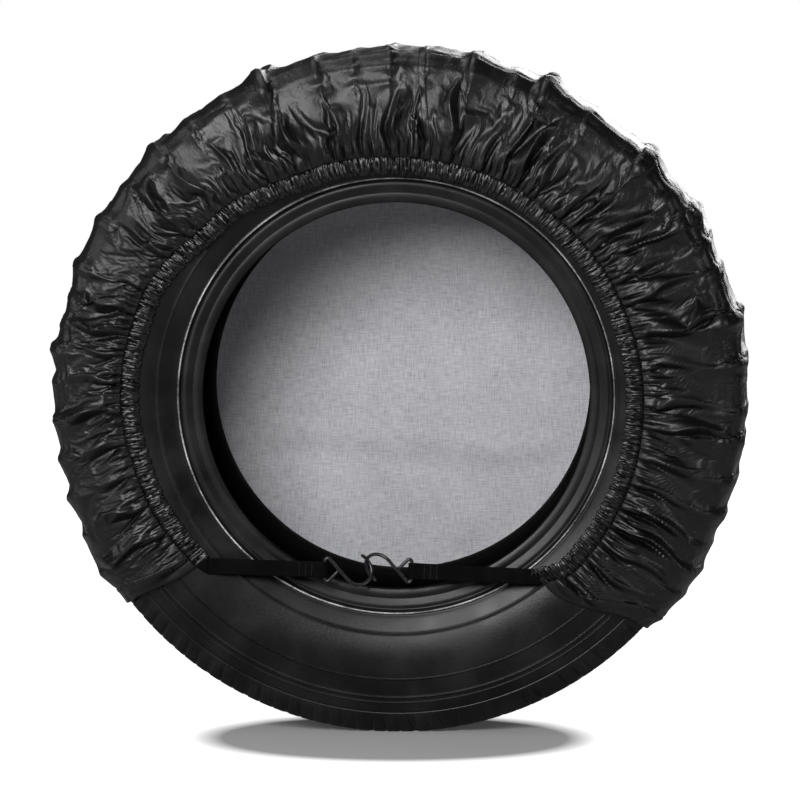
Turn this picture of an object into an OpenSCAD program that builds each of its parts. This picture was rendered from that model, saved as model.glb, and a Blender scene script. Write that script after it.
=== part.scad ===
// Wheel cover set: a gathered vinyl cover, drawn tight over a standing tyre by two hooked
// elastic straps. Wheel axis along Y, back of the cover towards -Y, +Z up, origin in the
// middle of the rim seat.

/* [Tyre] */
// Outside radius of the tread at its crown
tyre_r = 353.5; // [340:0.5:375]
// Section width across the two sidewalls
tyre_w = 221; // [205:1:235]
// Radius of the bead seats, where a rim sits
seat_r = 202.8; // [198:0.1:208]
// Distance between the two outer bead faces
bead_span = 184; // [170:1:190]
// Width of each bead seat
seat_w = 20; // [14:1:24]
// Thickness of the sidewall rubber
sidewall_t = 7; // [5:0.5:9]
// Radius where the sidewall is widest
bulge_r = 280; // [270:1:288]
// Height of the moulded rings on the sidewall
ring_h = 0.9; // [0.4:0.1:1.2]
// Depth of the four tread grooves
groove_depth = 8; // [4:0.5:8.5]
// Width of the four tread grooves
groove_w = 9; // [6:0.5:12]
// Number of shoulder notches on each side
notch_count = 48; // [24:1:60]
// Half length of the flat that the tyre stands on
patch_half = 50; // [30:1:60]

/* [Cover] */
// Thickness of the vinyl
vinyl_t = 1.2; // [0.8:0.1:1.6]
// Thickness of the grey backing
lining_t = 1; // [0.6:0.1:1.4]
// Clearance between the cover and the tyre
cover_gap = 0.4; // [0.3:0.1:1]
// Height of the main folds over the tread
fold_h = 13; // [6:0.5:15]
// Angle from one main fold to the next
fold_pitch = 7.6; // [6:0.2:12]
// Height of the flat bottom edge above the ground
bottom_clear = 20; // [12:1:40]
// Radius of the welt cord along the front seam
welt_r = 2; // [1:0.1:3]
// Width of the hem channel that holds the elastic
hem_w = 18; // [15:0.5:24]
// Height of the small ruffles in the hem channel
ruffle_h = 2.2; // [1:0.1:3]
// Width of the straight hems at the two ends of the strip
end_hem_w = 20; // [12:1:26]
// Angle where the left end of the strip crosses the shoulder
end_left = 217.9; // [212:0.1:222]
// Angle where the right end of the strip crosses the shoulder
end_right = -42.9; // [-46:0.1:-38]
// Angle of the joining seam at the shoulder
seam_at = 85.5; // [75:0.5:95]

/* [Elastic and straps] */
// Width of the elastic inside the hem
elastic_w = 13; // [9:0.5:14]
// Thickness of the elastic
elastic_t = 1.2; // [0.8:0.1:1.4]
// Width of the two straps
strap_w = 16.5; // [14:0.5:20]
// Thickness of the strap webbing
strap_t = 1.6; // [1:0.1:2]
// Length of the strap end that is folded back and sewn
tail_l = 30; // [22:1:40]

/* [Hooks] */
// Diameter of the hook wire
wire_d = 3.6; // [2.8:0.1:3.8]
// Radial running clearance of the wire in the strap's loop
loop_run = 0.08; // [0.02:0.01:0.1]
// Length of the straight shank
shank_l = 28; // [26:0.5:30]
// Radius of the curl, along the middle of the wire
curl_r = 16; // [15:0.5:17]
// Twist of the curl against the eye, which lets two hooks cross
curl_twist = 34; // [32:1:36]

/* [Hidden] */
$fn = 96;
slack = 0.3; // gap between sewn pieces that lie edge to edge

// ---- tyre sizes -------------------------------------------------------------------------
side_y = tyre_w / 2;
bead_y = bead_span / 2;
bead_h = 23;
flex_h = 14; // from the widest place out to where the sidewall starts to thicken
inner_h = 22; // from the rim line up to where the sidewall is thin
lip_r = seat_r + bead_h; // rim line, where the bead meets the sidewall
shoulder_drop = 25;
shoulder_r = tyre_r - shoulder_drop; // where the tread rubber ends on the sidewall
shoulder_fall = 10.3; // how far the sidewall falls in from its widest place to the shoulder
lip_fall = 13; // and to the rim line
shoulder_in = 22;
shoulder_y = side_y - shoulder_in; // half width of the tread at its edge
edge_drop = 3; // how much lower the tread's edge is than its crown
tread_t = 12; // tread rubber from the groove land down to the belt
belt_t = 3;
ply_t = 6;
belt_half = shoulder_y - 10;
groove_at = [16, 51]; // distance of the grooves from the middle, on both sides
foot_t = 4; // thickness of the tread rubber where it ends on the sidewall
notch_w = 7;
notch_l = 24;
notch_t = 12; // thickness of the notch's cutter, which stands half out of the shoulder
patch_z = -sqrt(pow(tyre_r, 2) - pow(patch_half, 2));
core_r = 4.5;
core_at = [seat_r + 12, bead_y - seat_w / 2];
letter_from = 19.5;
letter_to = 66.5;
letter_ring = [lip_r + letter_from, lip_r + letter_to]; // rings that border the bare letter band
ring_drop = [41.5, 36];
shoulder_ring = [tyre_r - ring_drop[0], tyre_r - ring_drop[1]];
ring_w = 1.6;

// Half width of the sidewall's outer face at radius r
function side_at(r) =
    r > bulge_r
        ? side_y - shoulder_fall * pow((r - bulge_r) / (shoulder_r - bulge_r), 2)
        : side_y - lip_fall * pow((bulge_r - r) / (bulge_r - lip_r), 2);
// A small moulded ring, as three points of the section
function ring(r) = [
    [r - ring_w / 2, side_at(r - ring_w / 2)],
    [r, side_at(r) + ring_h],
    [r + ring_w / 2, side_at(r + ring_w / 2)]
];
function stretch(a, b, n) = [for (i = [0:n]) [a + (b - a) * i / n, side_at(a + (b - a) * i / n)]];

// Turns a section of [radius, distance from the middle] around the wheel's axis
module turned(section) {
    rotate([-90, 0, 0])
        rotate_extrude($fn = 180)
            polygon(section);
}

module sidewall(side) {
    outer = concat(
        [[seat_r, bead_y - seat_w], [seat_r, bead_y - 3], [seat_r + 3, bead_y]],
        [[lip_r - 7, bead_y + 2.5], [lip_r - 4, bead_y + 1.6], [lip_r - 1.5, bead_y + 6.5]],
        [[lip_r, side_at(lip_r) + 0.6], [lip_r + 1.5, side_at(lip_r + 1.5)]],
        stretch(lip_r + 6, letter_ring[0] - 3, 1),
        ring(letter_ring[0]),
        stretch(letter_ring[0] + 8, letter_ring[1] - 8, 4),
        ring(letter_ring[1]),
        ring(shoulder_ring[0]),
        ring(shoulder_ring[1]),
        [[shoulder_r, side_at(shoulder_r)]]
    );
    inner = [
        [shoulder_r, side_at(shoulder_r) - sidewall_t],
        [bulge_r + flex_h, side_at(bulge_r + flex_h) - sidewall_t - 0.5],
        [bulge_r - 8, side_y - sidewall_t - 0.8],
        [lip_r + inner_h, side_at(lip_r + inner_h) - sidewall_t - 1],
        [lip_r, bead_y - 9],
        [seat_r + 10, bead_y - seat_w]
    ];
    difference() {
        mirror([0, side < 0 ? 1 : 0, 0])
            turned(concat(outer, inner));
        translate([0, side * core_at[1], 0])
            rotate([-90, 0, 0])
                rotate_extrude($fn = 120)
                    translate([core_at[0], 0])
                        circle(core_r, $fn = 32);
    }
}

module bead_core(side) {
    translate([0, side * core_at[1], 0])
        rotate([-90, 0, 0])
            rotate_extrude($fn = 120)
                translate([core_at[0], 0])
                    circle(core_r, $fn = 32);
}

module sidewall_rear() {
    color("#1c1c1d") sidewall(-1);
}

module sidewall_front() {
    color("#1c1c1d") sidewall(1);
}

module bead_core_rear() {
    color("#9a8f7a") bead_core(-1);
}

module bead_core_front() {
    color("#9a8f7a") bead_core(1);
}

// Ply that joins the two sidewalls under the belt
module body_ply() {
    top = tyre_r - tread_t - belt_t;
    foot = [shoulder_r, side_at(shoulder_r) - sidewall_t];
    half = [[top, belt_half], [top - 4, shoulder_y - 3], [shoulder_r, side_at(shoulder_r) - foot_t]];
    under = [foot, [top - ply_t - 4, shoulder_y - 9], [top - ply_t, belt_half - 6]];
    section = concat(
        [for (p = concat(half, under)) p],
        [for (i = [5:-1:0]) [concat(half, under)[i][0], -concat(half, under)[i][1]]]
    );
    color("#2a2724") turned(section);
}

module steel_belt() {
    top = tyre_r - tread_t;
    color("#8d8a84")
        turned([
            [top - belt_t, -belt_half], [top, -belt_half], [top, belt_half],
            [top - belt_t, belt_half]
        ]);
}

// Height of the tread's face at a distance y from the middle
function crown(y) = tyre_r - edge_drop * pow(y / shoulder_y, 2);
function groove(y) = [
    [crown(y - groove_w / 2), y - groove_w / 2],
    [crown(y) - groove_depth, y - groove_w / 2 + 1.5],
    [crown(y) - groove_depth, y + groove_w / 2 - 1.5],
    [crown(y + groove_w / 2), y + groove_w / 2]
];

module tread_band() {
    top = tyre_r - tread_t;
    foot = side_at(shoulder_r);
    bend_y = (groove_at[1] + groove_w / 2 + shoulder_y) / 2;
    right = concat(
        [[crown(0), 0]], groove(groove_at[0]), groove(groove_at[1]),
        [[crown(bend_y), bend_y], [crown(shoulder_y), shoulder_y]],
        [[tyre_r - 15, shoulder_y + 9], [shoulder_r, foot]],
        [[shoulder_r, foot - foot_t], [top - belt_t - 4, shoulder_y - 3], [top - belt_t, belt_half]],
        [[top, belt_half]]
    );
    n = len(right);
    section = concat(right, [for (i = [n - 1:-1:1]) [right[i][0], -right[i][1]]]);
    color("#19191a")
        difference() {
            turned(section);
            for (side = [-1, 1], i = [0:notch_count - 1])
                rotate([0, -360 * (i + 0.5) / notch_count, 0])
                    translate([tyre_r - 9.1, side * (shoulder_y + 7.5), 0])
                        rotate([side * 20, 0, -side * 31])
                            cube([notch_l, notch_t, notch_w], center = true);
            translate([-tyre_r, -tyre_w, -tyre_r - groove_depth])
                cube([2 * tyre_r, 2 * tyre_w, groove_depth + tyre_r + patch_z]);
        }
}

// ---- cover sizes ------------------------------------------------------------------------
wrap_r = tyre_r + cover_gap; // inner face of the strip over the tread
back_y = side_y + cover_gap + 0.4; // inner face of the strip on the rear sidewall
lining_y = side_y + slack;
face_y = lining_y + lining_t;
rim_in = 8; // how far the strip turns in over the front shoulder to its seam
face_r = wrap_r - rim_in + 3;
bottom_z = patch_z + bottom_clear;
stitch_gap = slack;

// Inner edge of the hem, as [angle, radius], nearest the axle on the upper right
hem_edge = [
    [-52, 228], [-44, 240], [-20, 240], [0, 238], [25, 235], [55, 231], [88, 230], [112, 233],
    [135, 246], [158, 263], [180, 266], [202, 261], [221, 254]
];
function ease(x) = x * x * (3 - 2 * x);
function hem_r(a, i = 0) =
    i >= len(hem_edge) - 2 || a < hem_edge[i + 1][0]
        ? hem_edge[i][1] + (hem_edge[i + 1][1] - hem_edge[i][1])
            * ease(min(1, max(0, (a - hem_edge[i][0]) / (hem_edge[i + 1][0] - hem_edge[i][0]))))
        : hem_r(a, i + 1);

// The strip is drawn in rows, from the front seam (0) over the tread to the hem's stitching.
// Each row has a radius and a distance from the middle, and the way that its folds stand out.
row_count = 6;
bend_r = tyre_r - 16; // radius of the row on the shoulder
front_y = shoulder_y - 4.5; // where the strip starts to turn in over the front shoulder
function row_r(k, a) = [
    wrap_r - rim_in, wrap_r, wrap_r, bend_r, (bulge_r + bend_r) / 2 - 10,
    hem_r(a) + hem_w + stitch_gap
][k];
function row_y(k) = [face_y - slack, front_y, -shoulder_y + 1, -side_y + 4, -back_y, -back_y][k];
function row_out(k) = [[1, 0], [1, 0], [0.94, -0.34], [0.6, -0.8], [0, -1], [0, -1]][k];
function row_fold(k) = [0.1, 0.3, 1, 0.85, 0.6, 0.25][k] * fold_h;
// The ends lean: the hem is drawn further round than the shoulder
function row_lean(k) = [0, 0, 0, 0.1, 0.5, 1][k];
function left_end(k) = end_left + 2.5 * row_lean(k);
function right_end(k) = end_right - 8.5 * row_lean(k);
function seam_line(k) = seam_at + 3.3 * row_lean(k);

// Height, 0 to 1, of the folds at angle a: their widths and heights vary along the strip
function folds(a, k) =
    (0.74 + 0.26 * sin(a * 5.3 + 20 + 9 * k))
    * (0.5 - 0.5 * cos(360 * a / fold_pitch + 80 * sin(a * 3.1) + 55 * sin(a * 9.7 + 40) + 14 * k));
function fade(u) = min(1, u / 0.03, (1 - u) / 0.03);

// A point of the strip's section: row k at angle a, lifted off the inner face by t
function strip_point(a, k, lift) =
    let (r = row_r(k, a) + row_out(k)[0] * lift, y = row_y(k) + row_out(k)[1] * lift)
    [r * cos(a), y, r * sin(a)];

// Skins a list of closed sections, whose first half is the outer face and whose second half
// is the inner face in reverse
module skin(sections) {
    n = len(sections);
    m = len(sections[0]);
    half = m / 2;
    // both faces are split along the same diagonals, so a thin wall stays open all over
    sides = [for (i = [0:n - 2], j = [0:m - 1])
        let (a = i * m + j, b = i * m + (j + 1) % m, c = a + m, d = b + m)
        each j < half ? [[a, c, b], [b, c, d]] : [[a, d, b], [a, c, d]]];
    starts = [for (j = [0:half - 2])
        let (a = j, b = j + 1, c = m - 1 - j, d = m - 2 - j)
        each [[a, b, c], [b, d, c]]];
    last = (n - 1) * m;
    ends = [for (f = starts) [last + f[0], last + f[2], last + f[1]]];
    polyhedron([for (s = sections) each s], concat(sides, starts, ends));
}

// A length of the strip from one row-by-row angle to another, t thick
function strip_section(u, from, to, t, fold) =
    let (a = [for (k = [0:row_count - 1]) from[k] + (to[k] - from[k]) * u])
    let (up = [for (k = [0:row_count - 1]) fold * fade(u) * folds(a[k], k) * row_fold(k)])
    concat(
        [for (k = [0:row_count - 1]) strip_point(a[k], k, up[k] + t)],
        [for (k = [row_count - 1:-1:0]) strip_point(a[k], k, up[k])]
    );

module strip(from, to, t, fold, columns) {
    skin([for (i = [0:columns]) strip_section(i / columns, from, to, t, fold)]);
}

function turn_for(w, r) = w / r * 180 / PI; // angle that a width w takes at radius r
function hem_turn(k, a, w) = turn_for(w, row_r(k, a));
rows = [0:row_count - 1];
seam_w = 8;
strip_columns = 94;
left_hem_start = [for (k = rows) left_end(k) - hem_turn(k, end_left, end_hem_w)];
right_hem_start = [for (k = rows) right_end(k) + hem_turn(k, end_right, end_hem_w)];
seam_left = [for (k = rows) seam_line(k) + hem_turn(k, seam_at, seam_w / 2)];
seam_right = [for (k = rows) seam_line(k) - hem_turn(k, seam_at, seam_w / 2)];
function shifted(list, w) = [for (k = rows) list[k] + hem_turn(k, 90, w)];

module side_panel_left() {
    color("#17181a")
        strip(shifted(seam_left, slack), shifted(left_hem_start, -slack), vinyl_t, 1, strip_columns);
}

module side_panel_right() {
    color("#17181a")
        strip(shifted(right_hem_start, slack), shifted(seam_right, -slack), vinyl_t, 1, strip_columns);
}

// Two layers of vinyl, sewn together where the strip is joined
module joining_seam() {
    color("#1d1e20") strip(seam_right, seam_left, 2 * vinyl_t, 0, 2);
}

module end_hem_left() {
    color("#1b1c1e") strip(left_hem_start, [for (k = rows) left_end(k)], 2 * vinyl_t, 0, 3);
}

module end_hem_right() {
    color("#1b1c1e") strip([for (k = rows) right_end(k)], right_hem_start, 2 * vinyl_t, 0, 3);
}

// ---- hem channel ------------------------------------------------------------------------
channel_t = 0.8; // thickness of each ply of the channel
channel_in = back_y + channel_t; // inner faces of the channel, where the elastic lies
channel_out = channel_in + elastic_t + 2 * slack;
ruffle_pitch = 3.9;
channel_start = right_end(row_count - 1);
channel_end = left_end(row_count - 1);
channel_seam = seam_line(row_count - 1);
elastic_in = 3.5; // from the hem's inner edge to the elastic
function ruffle(a) = 0.5 - 0.5 * cos(360 * a / ruffle_pitch + 60 * sin(a * 7.3));

// Closed U section of the channel at angle a: outer face first, then the inner face in reverse
function channel_section(a) =
    let (r = hem_r(a), h = ruffle_h * ruffle(a))
    let (top = channel_out + channel_t, lip = 0.6 * ruffle(a + ruffle_pitch / 2))
    [for (p = [
        [r + hem_w, top + h], [r + 3, top + 0.7 * h], [r - lip, channel_in + 0.9],
        [r + 2, back_y], [r + hem_w, back_y],
        [r + hem_w, channel_in], [r + 3.2, channel_in], [r + 1.6, channel_in + 0.9],
        [r + 3.2, channel_out], [r + hem_w, channel_out]
    ]) [p[0] * cos(a), -p[1], p[0] * sin(a)]];

module hem_channel(from, to, columns) {
    skin([for (i = [0:columns]) channel_section(from + (to - from) * i / columns)]);
}

module hem_channel_left() {
    color("#141516") hem_channel(channel_seam + 0.05, channel_end, 80);
}

module hem_channel_right() {
    color("#141516") hem_channel(channel_start, channel_seam - 0.05, 80);
}

module hem_elastic() {
    start = channel_start + 0.3;
    turn = channel_end - channel_start - 0.6;
    columns = 100;
    color("#101011")
        skin([for (i = [0:columns])
            let (a = start + turn * i / columns, r = hem_r(a) + elastic_in)
            [for (p = [
                [r, channel_in + slack + elastic_t], [r, channel_in + slack],
                [r + elastic_w, channel_in + slack], [r + elastic_w, channel_in + slack + elastic_t]
            ]) [p[0] * cos(a), -p[1], p[0] * sin(a)]]]);
}

// ---- face -------------------------------------------------------------------------------
// Disc from y to y + t, cut flat along the bottom
module face_disc(r, y, t, z) {
    difference() {
        translate([0, y, 0])
            rotate([-90, 0, 0])
                cylinder(r = r, h = t, $fn = 180);
        translate([-r, y - 1, -2 * r])
            cube([2 * r, t + 2, 2 * r + z]);
    }
}

module face_panel() {
    color("#1a1b1d") face_disc(face_r, face_y, vinyl_t, bottom_z);
}

module face_lining() {
    color("#9a9ba1") face_disc(wrap_r - rim_in - 1, lining_y, lining_t, bottom_z + 2);
}

// Cord-filled welt, sewn into the seam around the face
module face_welt() {
    color("#1e1f21")
        translate([0, face_y + vinyl_t / 2, 0])
            rotate([90, 0, 0])
                rotate([0, 0, end_right])
                    rotate_extrude(angle = end_left - end_right, $fn = 180)
                        translate([face_r + slack / 2 + welt_r, 0])
                            circle(welt_r, $fn = 24);
}

// Folded hem along the free bottom edge of the face
module face_edge_hem() {
    hem = 18;
    y = face_y + vinyl_t;
    far = 2 * face_r;
    color("#202123")
        intersection() {
            difference() {
                face_disc(face_r, y, vinyl_t, bottom_z);
                difference() {
                    translate([0, y - 1, 0])
                        rotate([-90, 0, 0])
                            cylinder(r = face_r - hem, h = vinyl_t + 2, $fn = 180);
                    translate([-far, y - 2, -far])
                        cube([2 * far, vinyl_t + 4, far + bottom_z + hem]);
                }
            }
            translate([0, y + vinyl_t + 1, 0])
                rotate([90, 0, 0])
                    linear_extrude(vinyl_t + 2)
                        polygon([
                            [0, 0], far * [cos(end_left + 1), sin(end_left + 1)],
                            far * [cos(end_left + 30), sin(end_left + 30)],
                            far * [cos(end_right - 30), sin(end_right - 30)],
                            far * [cos(end_right - 1), sin(end_right - 1)]
                        ]);
        }
}

// ---- straps and hooks -------------------------------------------------------------------
wire_r = wire_d / 2;
loop_in = wire_r + loop_run;
loop_out = loop_in + strap_t;
strap_back = channel_in + slack; // face of the strap that is nearest the tyre
// Where each strap leaves the hem, [x, z], and where its hook's eye sits
left_root = [-194.5, -174.6];
right_root = [140.8, -184.4];
left_eye = [-72.8, -178.1];
right_eye = [16.6, -179];
function span(a, b) = norm(b - a);
function tilt(a, b) = -atan2(b[1] - a[1], b[0] - a[0]);

// Puts a strap's own frame (X along it, Z across it, Y = 0 on its face nearest the tyre)
module on_strap(root, eye) {
    translate([root[0], -strap_back, root[1]])
        rotate([0, tilt(root, eye), 0])
            children();
}

module across(h) {
    translate([0, 0, -h / 2])
        linear_extrude(h)
            children();
}

// One strap: a single ply, folded back round the hook's bar and sewn down
module strap(l) {
    meet = 10; // where the two plies part, short of the bar
    shoulder = loop_out - 0.2;
    difference() {
        union() {
            across(strap_w)
                polygon([
                    [0, -strap_t], [l - meet, -strap_t], [l, -shoulder], [l, shoulder],
                    [l - meet, strap_t], [l - tail_l, strap_t], [l - tail_l, 0], [0, 0]
                ]);
            translate([l, 0, 0])
                cylinder(r = loop_out, h = strap_w, center = true);
        }
        translate([l, 0, 0])
            cylinder(r = loop_in, h = strap_w + 2, center = true);
    }
}

module strap_left() {
    color("#0f0f10")
        on_strap(left_root, left_eye)
            strap(span(left_root, left_eye));
}

module strap_right() {
    color("#0f0f10")
        on_strap(right_root, right_eye)
            strap(span(right_root, right_eye));
}

// Three bar tacks that hold the folded strap end
module loop_stitching(l) {
    tack_w = 1.4;
    for (i = [0:2])
        translate([l - tail_l + 3 + 6.5 * i, -strap_t - 0.5, 0])
            translate([0, 0, -strap_w / 2 + 1.5])
                cube([tack_w, 0.5, strap_w - 3]);
}

module loop_stitching_left() {
    color("#1c1c1e")
        on_strap(left_root, left_eye)
            loop_stitching(span(left_root, left_eye));
}

module loop_stitching_right() {
    color("#1c1c1e")
        on_strap(right_root, right_eye)
            loop_stitching(span(right_root, right_eye));
}

// The short length of elastic between the channel's mouth and the free strap
module elastic_end(a, root, eye, side) {
    w = strap_w / 2;
    mouth = hem_r(a) + elastic_in;
    dip = a - side * turn_for(slack + 0.4, mouth);
    inner = mouth * [cos(dip), sin(dip)];
    outer = (mouth + elastic_w) * [cos(dip), sin(dip)];
    down = [sin(-tilt(root, eye)), -cos(-tilt(root, eye))] * side;
    edge = root - slack * [cos(tilt(root, eye)), -sin(tilt(root, eye))];
    tuck = 2.5; // how far the elastic's inner edge stays clear of the channel
    translate([0, -strap_back, 0])
        rotate([90, 0, 0])
            linear_extrude(elastic_t)
                polygon([edge + (w - tuck) * down, inner, outer, edge - w * down]);
}

module elastic_end_left() {
    color("#101011") elastic_end(channel_end, left_root, left_eye, -1);
}

module elastic_end_right() {
    color("#101011") elastic_end(channel_start, right_root, right_eye, 1);
}

// Bent wire, drawn as rings along a path that starts at the origin along +Z. Each step is
// [length] for a straight run, or [radius, angle, roll] for a bend towards +X after the roll.
wire_sides = 12;
bend_step = 12; // largest turn between two rings
function run_m(l) = [[1, 0, 0, 0], [0, 1, 0, 0], [0, 0, 1, l], [0, 0, 0, 1]];
function roll_m(a) = [[cos(a), -sin(a), 0, 0], [sin(a), cos(a), 0, 0], [0, 0, 1, 0], [0, 0, 0, 1]];
function bend_m(r, a) = [
    [cos(a), 0, sin(a), r * (1 - cos(a))], [0, 1, 0, 0], [-sin(a), 0, cos(a), r * sin(a)],
    [0, 0, 0, 1]
];
function frames(steps, m, i = 0) =
    i >= len(steps) ? [m]
    : len(steps[i]) == 1 ? concat([m], frames(steps, m * run_m(steps[i][0]), i + 1))
    : let (s = steps[i], n = ceil(s[1] / bend_step), turned = m * roll_m(s[2]))
        concat(
            [for (j = [0:n - 1]) turned * bend_m(s[0], s[1] * j / n)],
            frames(steps, turned * bend_m(s[0], s[1]), i + 1)
        );

module wire(steps, r) {
    all = frames(steps, run_m(0));
    // two steps that meet give the same frame twice, so only the first is kept
    kept = [for (i = [0:len(all) - 1]) if (i == 0 || norm(all[i] * [0, 0, 0, 1]
        - all[i - 1] * [0, 0, 0, 1]) > 0.01) all[i]];
    n = len(kept);
    m = wire_sides;
    points = [for (f = kept, j = [0:m - 1])
        let (p = f * [r * cos(360 * j / m), r * sin(360 * j / m), 0, 1]) [p[0], p[1], p[2]]];
    sides = [for (i = [0:n - 2], j = [0:m - 1])
        let (a = i * m + j, b = i * m + (j + 1) % m, c = a + m, d = b + m)
        each [[a, c, b], [b, c, d]]];
    start = [for (j = [1:m - 2]) [0, j, j + 1]];
    last = (n - 1) * m;
    end = [for (j = [1:m - 2]) [last, last + j + 1, last + j]];
    polyhedron(points, concat(sides, start, end));
}

corner_r = 2.6;
bar_l = strap_w + 2;
shank_turn = 137;
eye_lap = 1; // how far the bent wire reaches into the bar
bent_r = wire_r - 0.03;

// The bar that the strap's loop turns on is a true cylinder, and the bends start inside it
module hook(l) {
    back_leg = 2 * (corner_r + bar_l / 2) * sin(180 - shank_turn) - wire_d - 2 * slack;
    translate([l, 0, 0]) {
        cylinder(r = wire_r, h = bar_l, center = true);
        translate([0, 0, bar_l / 2 - eye_lap])
            wire([
                [eye_lap], [corner_r, shank_turn, 0], [shank_l],
                [curl_r, 150, 180 - curl_twist], [curl_r + 3, 45, 0], [1]
            ], bent_r);
        rotate([180, 0, 0])
            translate([0, 0, bar_l / 2 - eye_lap])
                wire([[eye_lap], [corner_r, shank_turn, 0], [back_leg]], bent_r);
    }
}

module hook_left() {
    color("#3a3b3d")
        on_strap(left_root, left_eye)
            hook(span(left_root, left_eye));
}

module hook_right() {
    color("#3a3b3d")
        on_strap(right_root, right_eye)
            hook(span(right_root, right_eye));
}

tread_band();
steel_belt();
body_ply();
sidewall_rear();
sidewall_front();
bead_core_rear();
bead_core_front();
face_panel();
face_lining();
face_welt();
face_edge_hem();
side_panel_left();
side_panel_right();
joining_seam();
end_hem_left();
end_hem_right();
hem_channel_left();
hem_channel_right();
hem_elastic();
elastic_end_left();
elastic_end_right();
strap_left();
strap_right();
loop_stitching_left();
loop_stitching_right();
hook_left();
hook_right();
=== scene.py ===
# %% [markdown]
# A wheel cover set: a gathered vinyl cover drawn over a standing tyre, seen from its hooked back.
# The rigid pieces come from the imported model, and this lesson dresses them: the cloth is gathered
# by a simulation, the rubber gets its moulded rings, and the straps and hooks their real wire and
# webbing. The frame is loaded first, because every piece takes its place and size from it.

# %% Load the frame
import math

import bpy
import numpy as np
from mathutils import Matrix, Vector


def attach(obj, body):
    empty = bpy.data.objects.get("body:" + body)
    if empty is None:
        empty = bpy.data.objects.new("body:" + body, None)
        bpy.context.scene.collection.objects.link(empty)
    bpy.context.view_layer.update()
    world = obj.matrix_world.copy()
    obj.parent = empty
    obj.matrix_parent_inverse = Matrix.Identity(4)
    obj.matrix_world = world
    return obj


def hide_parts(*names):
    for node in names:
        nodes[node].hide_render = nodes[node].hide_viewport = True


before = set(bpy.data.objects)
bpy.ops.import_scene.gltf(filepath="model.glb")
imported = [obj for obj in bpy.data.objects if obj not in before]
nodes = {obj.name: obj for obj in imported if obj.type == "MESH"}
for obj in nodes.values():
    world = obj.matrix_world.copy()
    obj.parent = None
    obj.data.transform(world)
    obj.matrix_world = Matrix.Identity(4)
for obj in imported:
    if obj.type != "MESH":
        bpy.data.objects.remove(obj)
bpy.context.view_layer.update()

MM = 0.001

# %% [markdown]
# Everything is worked out in millimetres and turned to metres at the end, because tyre and
# sewing sizes are known in millimetres. The wheel's axis is Y, so a place on the cover is an
# angle round that axis, a radius and a distance from the wheel's middle plane.

# %% Sizes of the tyre and the cover
TYRE_R = 353.5
TYRE_HALF = 110.5
SEAT_R = 202.8
BULGE_R = 280.0
LIP_R = SEAT_R + 23
SHOULDER_R = TYRE_R - 25
SHOULDER_FALL, LIP_FALL = 10.3, 13.0
PATCH_HALF = 50.0  # half the length of the flat where the tyre stands
PATCH_Z = -math.sqrt(TYRE_R**2 - PATCH_HALF**2)
HEM_W = 18.0
END_LEFT, END_RIGHT, SEAM_AT = 217.9, -42.9, 85.5
HEM_LEAN = (2.5, -8.5, 3.3)  # how far the hem has slipped round at the left, right and seam
# angle and radius of the hem's inner edge, which the straps pull out of round
HEM_EDGE = [
    (-52, 228), (-44, 240), (-20, 240), (0, 238), (25, 235), (55, 231), (88, 230), (112, 233),
    (135, 246), (158, 263), (180, 266), (202, 261), (221, 254),
]


def smooth(x):
    """Goes from 0 to 1 as x does, with no corner at either end."""
    x = np.clip(x, 0, 1)
    return x * x * (3 - 2 * x)


def hem_radius(angle):
    """Inner edge of the hem at an angle in degrees, in mm."""
    known, radii = np.array(HEM_EDGE, float).T
    angle = np.clip(np.asarray(angle, float), known[0], known[-1])
    k = np.clip(np.searchsorted(known, angle, side="right") - 1, 0, len(known) - 2)
    t = smooth((angle - known[k]) / (known[k + 1] - known[k]))
    return radii[k] + (radii[k + 1] - radii[k]) * t


def sidewall_y(r):
    """Half width of the tyre's sidewall at radius r."""
    r = np.asarray(r, float)
    outer = SHOULDER_FALL * ((r - BULGE_R) / (SHOULDER_R - BULGE_R)) ** 2
    inner = LIP_FALL * ((BULGE_R - r) / (BULGE_R - LIP_R)) ** 2
    return TYRE_HALF - np.where(r > BULGE_R, outer, inner)


def around(angle, r, y):
    """Points in metres from an angle in degrees and a radius and y in mm."""
    a = np.radians(angle)
    return np.stack(np.broadcast_arrays(r * np.cos(a), y, r * np.sin(a)), axis=-1) * MM


print("hem radius at the top:", float(hem_radius(90)), "mm")

# %% [markdown]
# The camera stands five metres back with a long lens, a little above and to the right of the
# wheel's axis, so the far edge of the bore shows as a dark crescent at the lower left. It comes
# first, so that every later piece can be looked at from the right place.

# %% Camera
SCALE = 1.0275 * MM
SENSOR = 36
AZIMUTH, ELEVATION, DISTANCE = 2.3, 5.0, 4.888
BACK_CENTRE = Vector((0, -0.112, 0))
BACK_CENTRE_AT = (395.3, 397.8)
FRAME = 800


def aim_camera():
    a, e = math.radians(AZIMUTH), math.radians(ELEVATION)
    back = Vector((math.sin(a) * math.cos(e), -math.cos(a) * math.cos(e), math.sin(e)))
    right = Vector((math.cos(a), math.sin(a), 0))
    up = back.cross(right)
    middle = FRAME / 2
    aside = right * (middle - BACK_CENTRE_AT[0]) + up * (BACK_CENTRE_AT[1] - middle)
    target = BACK_CENTRE + aside * SCALE
    data = bpy.data.cameras.new("studio_camera")
    data.sensor_width = SENSOR
    data.lens = SENSOR * DISTANCE / (FRAME * SCALE)
    data.clip_end = 60
    camera = bpy.data.objects.new("studio_camera", data)
    bpy.context.scene.collection.objects.link(camera)
    camera.location = target + back * DISTANCE
    camera.rotation_euler = back.to_track_quat("Z", "Y").to_euler()
    bpy.context.scene.camera = camera
    print("camera: lens %.0f mm" % data.lens)


aim_camera()

# %% [markdown]
# Most pieces here are swept or gathered grids. One helper makes a mesh from a grid of points,
# with quads between neighbours, so a piece only has to say where its points are. It can close
# the grid round either way, which is what a tube or a ring needs.

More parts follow.
